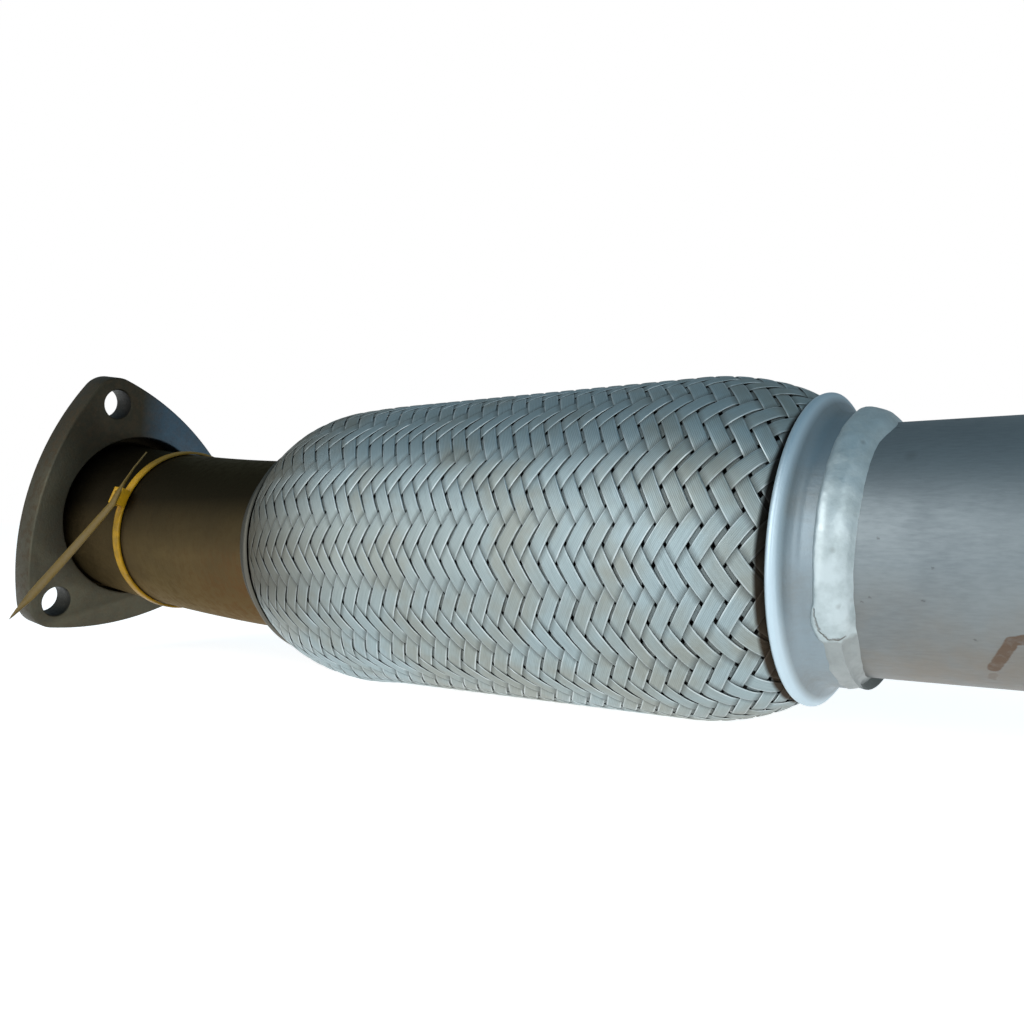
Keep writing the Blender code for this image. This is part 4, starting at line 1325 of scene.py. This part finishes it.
class EXHAUST_OT_stage(ExhaustOperator, bpy.types.Operator):
    """Pale floor, soft studio light, and the camera at the photograph's viewing angle"""

    bl_idname = "exhaust.stage"
    bl_label = "Stage"

    def execute(self, context):
        self.make_floor(context.scene.exhaust_colours.floor)
        self.make_world(context.scene)
        self.make_lamps(context.scene)
        self.make_camera(context.scene)
        context.scene.view_settings.view_transform = "Standard"
        return {"FINISHED"}

    def make_floor(self, pale):
        """A wide floor that looks white to the camera and in reflections, and takes shadows."""
        size, low = 30.0, -0.2 * MM
        points = [(-size, -size, low), (size, -size, low), (size, size, low), (-size, size, low)]
        floor = mesh_object("floor", points, [(0, 1, 2, 3)])
        tree, shader = new_material("pale floor", pale, 0.9, 0.0)
        rays = tree.nodes.new("ShaderNodeLightPath")
        seen = Field(tree, rays.outputs["Is Camera Ray"])
        for name in ("Is Glossy Ray", "Is Transmission Ray"):
            seen = seen.math("MAXIMUM", Field(tree, rays.outputs[name]))
        shader.inputs["Emission Color"].default_value = (1.0, 1.0, 1.0, 1.0)
        shader.inputs["Specular IOR Level"].default_value = 0.0
        tree.links.new((seen * 0.80).socket, shader.inputs["Emission Strength"])
        floor.data.materials.append(finish_named("pale floor"))

    def make_world(self, scene):
        """Soft light, bluer overhead and dimmer from behind, and plain white to the camera."""
        world = bpy.data.worlds.new("soft studio")
        scene.world = world
        world.use_nodes = True
        tree = world.node_tree
        tree.nodes.clear()
        where = tree.nodes.new("ShaderNodeTexCoord")
        east, north, height = split(tree, where.outputs["Generated"])
        behind = (north * 0.8 - east * 0.6) * 0.5 + 0.5
        height = height.clamped()
        fade = (0.80 - height * 0.45).clamped(0.42, 1.0) * (1.0 - behind * 0.62)
        level = tree.nodes.new("ShaderNodeCombineColor")
        for i, (low, high) in enumerate(((0.80, 0.48), (0.87, 0.82), (0.90, 1.05))):
            tree.links.new((fade * (height * (high - low) + low)).socket, level.inputs[i])
        rays = tree.nodes.new("ShaderNodeLightPath")
        studio = tree.nodes.new("ShaderNodeBackground")
        plain = tree.nodes.new("ShaderNodeBackground")
        plain.inputs[0].default_value = (1, 1, 1, 1)
        mix = tree.nodes.new("ShaderNodeMixShader")
        out = tree.nodes.new("ShaderNodeOutputWorld")
        tree.links.new(level.outputs[0], studio.inputs[0])
        tree.links.new(mix.outputs[0], out.inputs[0])
        for i, start in enumerate((rays.outputs["Is Camera Ray"], studio.outputs[0], plain.outputs[0])):
            tree.links.new(start, mix.inputs[i])

    def make_lamps(self, scene):
        """Two wide soft lamps aimed at the middle of the flex."""
        aim = ORIGIN + Vector((-0.12, 0.0, 0.0))
        for name, place, size, power in (
            ("key", (-0.55, -1.2, 0.55), 1.4, 9.0),
            ("fill", (1.0, -0.9, 0.35), 1.2, 3.6),
        ):
            data = bpy.data.lights.new(name, "AREA")
            data.shape = "DISK"
            data.size = size
            data.energy = power
            lamp = bpy.data.objects.new(name, data)
            scene.collection.objects.link(lamp)
            lamp.location = aim + Vector(place)
            lamp.rotation_mode = "QUATERNION"
            lamp.rotation_quaternion = (aim - lamp.location).to_track_quat("-Z", "Y")

    def make_camera(self, scene):
        """The photograph's camera."""
        data = bpy.data.cameras.new("photo_view")
        data.sensor_width = 36.0
        data.lens = CAMERA_LENS
        data.clip_start = 0.01
        camera = bpy.data.objects.new("photo_view", data)
        scene.collection.objects.link(camera)
        up = CAMERA_RIGHT.cross(CAMERA_AHEAD).normalized()
        turn = Matrix((CAMERA_RIGHT, up, -CAMERA_AHEAD)).transposed()
        camera.matrix_world = Matrix.Translation(ORIGIN + CAMERA_PLACE) @ turn.to_4x4()
        scene.camera = camera


# The panel and the running order


STEPS = (
    EXHAUST_OT_finishes,
    EXHAUST_OT_outlet_pipe,
    EXHAUST_OT_inlet_pipe,
    EXHAUST_OT_caps,
    EXHAUST_OT_welds,
    EXHAUST_OT_braid,
    EXHAUST_OT_inner_tubes,
    EXHAUST_OT_flange,
    EXHAUST_OT_cable_tie,
    EXHAUST_OT_stage,
)


class EXHAUST_PT_pieces(bpy.types.Panel):
    """Lists the pieces in the order in which they are made"""

    bl_idname = "EXHAUST_PT_pieces"
    bl_label = "Exhaust pipe"
    bl_space_type = "VIEW_3D"
    bl_region_type = "UI"
    bl_category = "Exhaust"

    def draw(self, context):
        column = self.layout.column()
        for step in STEPS:
            column.operator(step.bl_idname)
        for name in ExhaustSizes.__annotations__:
            column.prop(context.scene.exhaust_sizes, name)
        for name in ExhaustColours.__annotations__:
            column.prop(context.scene.exhaust_colours, name)


CLASSES = (ExhaustSizes, ExhaustColours, *STEPS, EXHAUST_PT_pieces)


def register():
    for item in CLASSES:
        bpy.utils.register_class(item)
    bpy.types.Scene.exhaust_sizes = PointerProperty(type=ExhaustSizes)
    bpy.types.Scene.exhaust_colours = PointerProperty(type=ExhaustColours)


def unregister():
    del bpy.types.Scene.exhaust_colours
    del bpy.types.Scene.exhaust_sizes
    for item in reversed(CLASSES):
        bpy.utils.unregister_class(item)


def main():
    register()
    for step in STEPS:
        category, name = step.bl_idname.split(".")
        getattr(getattr(bpy.ops, category), name)()


if __name__ == "__main__":
    main()
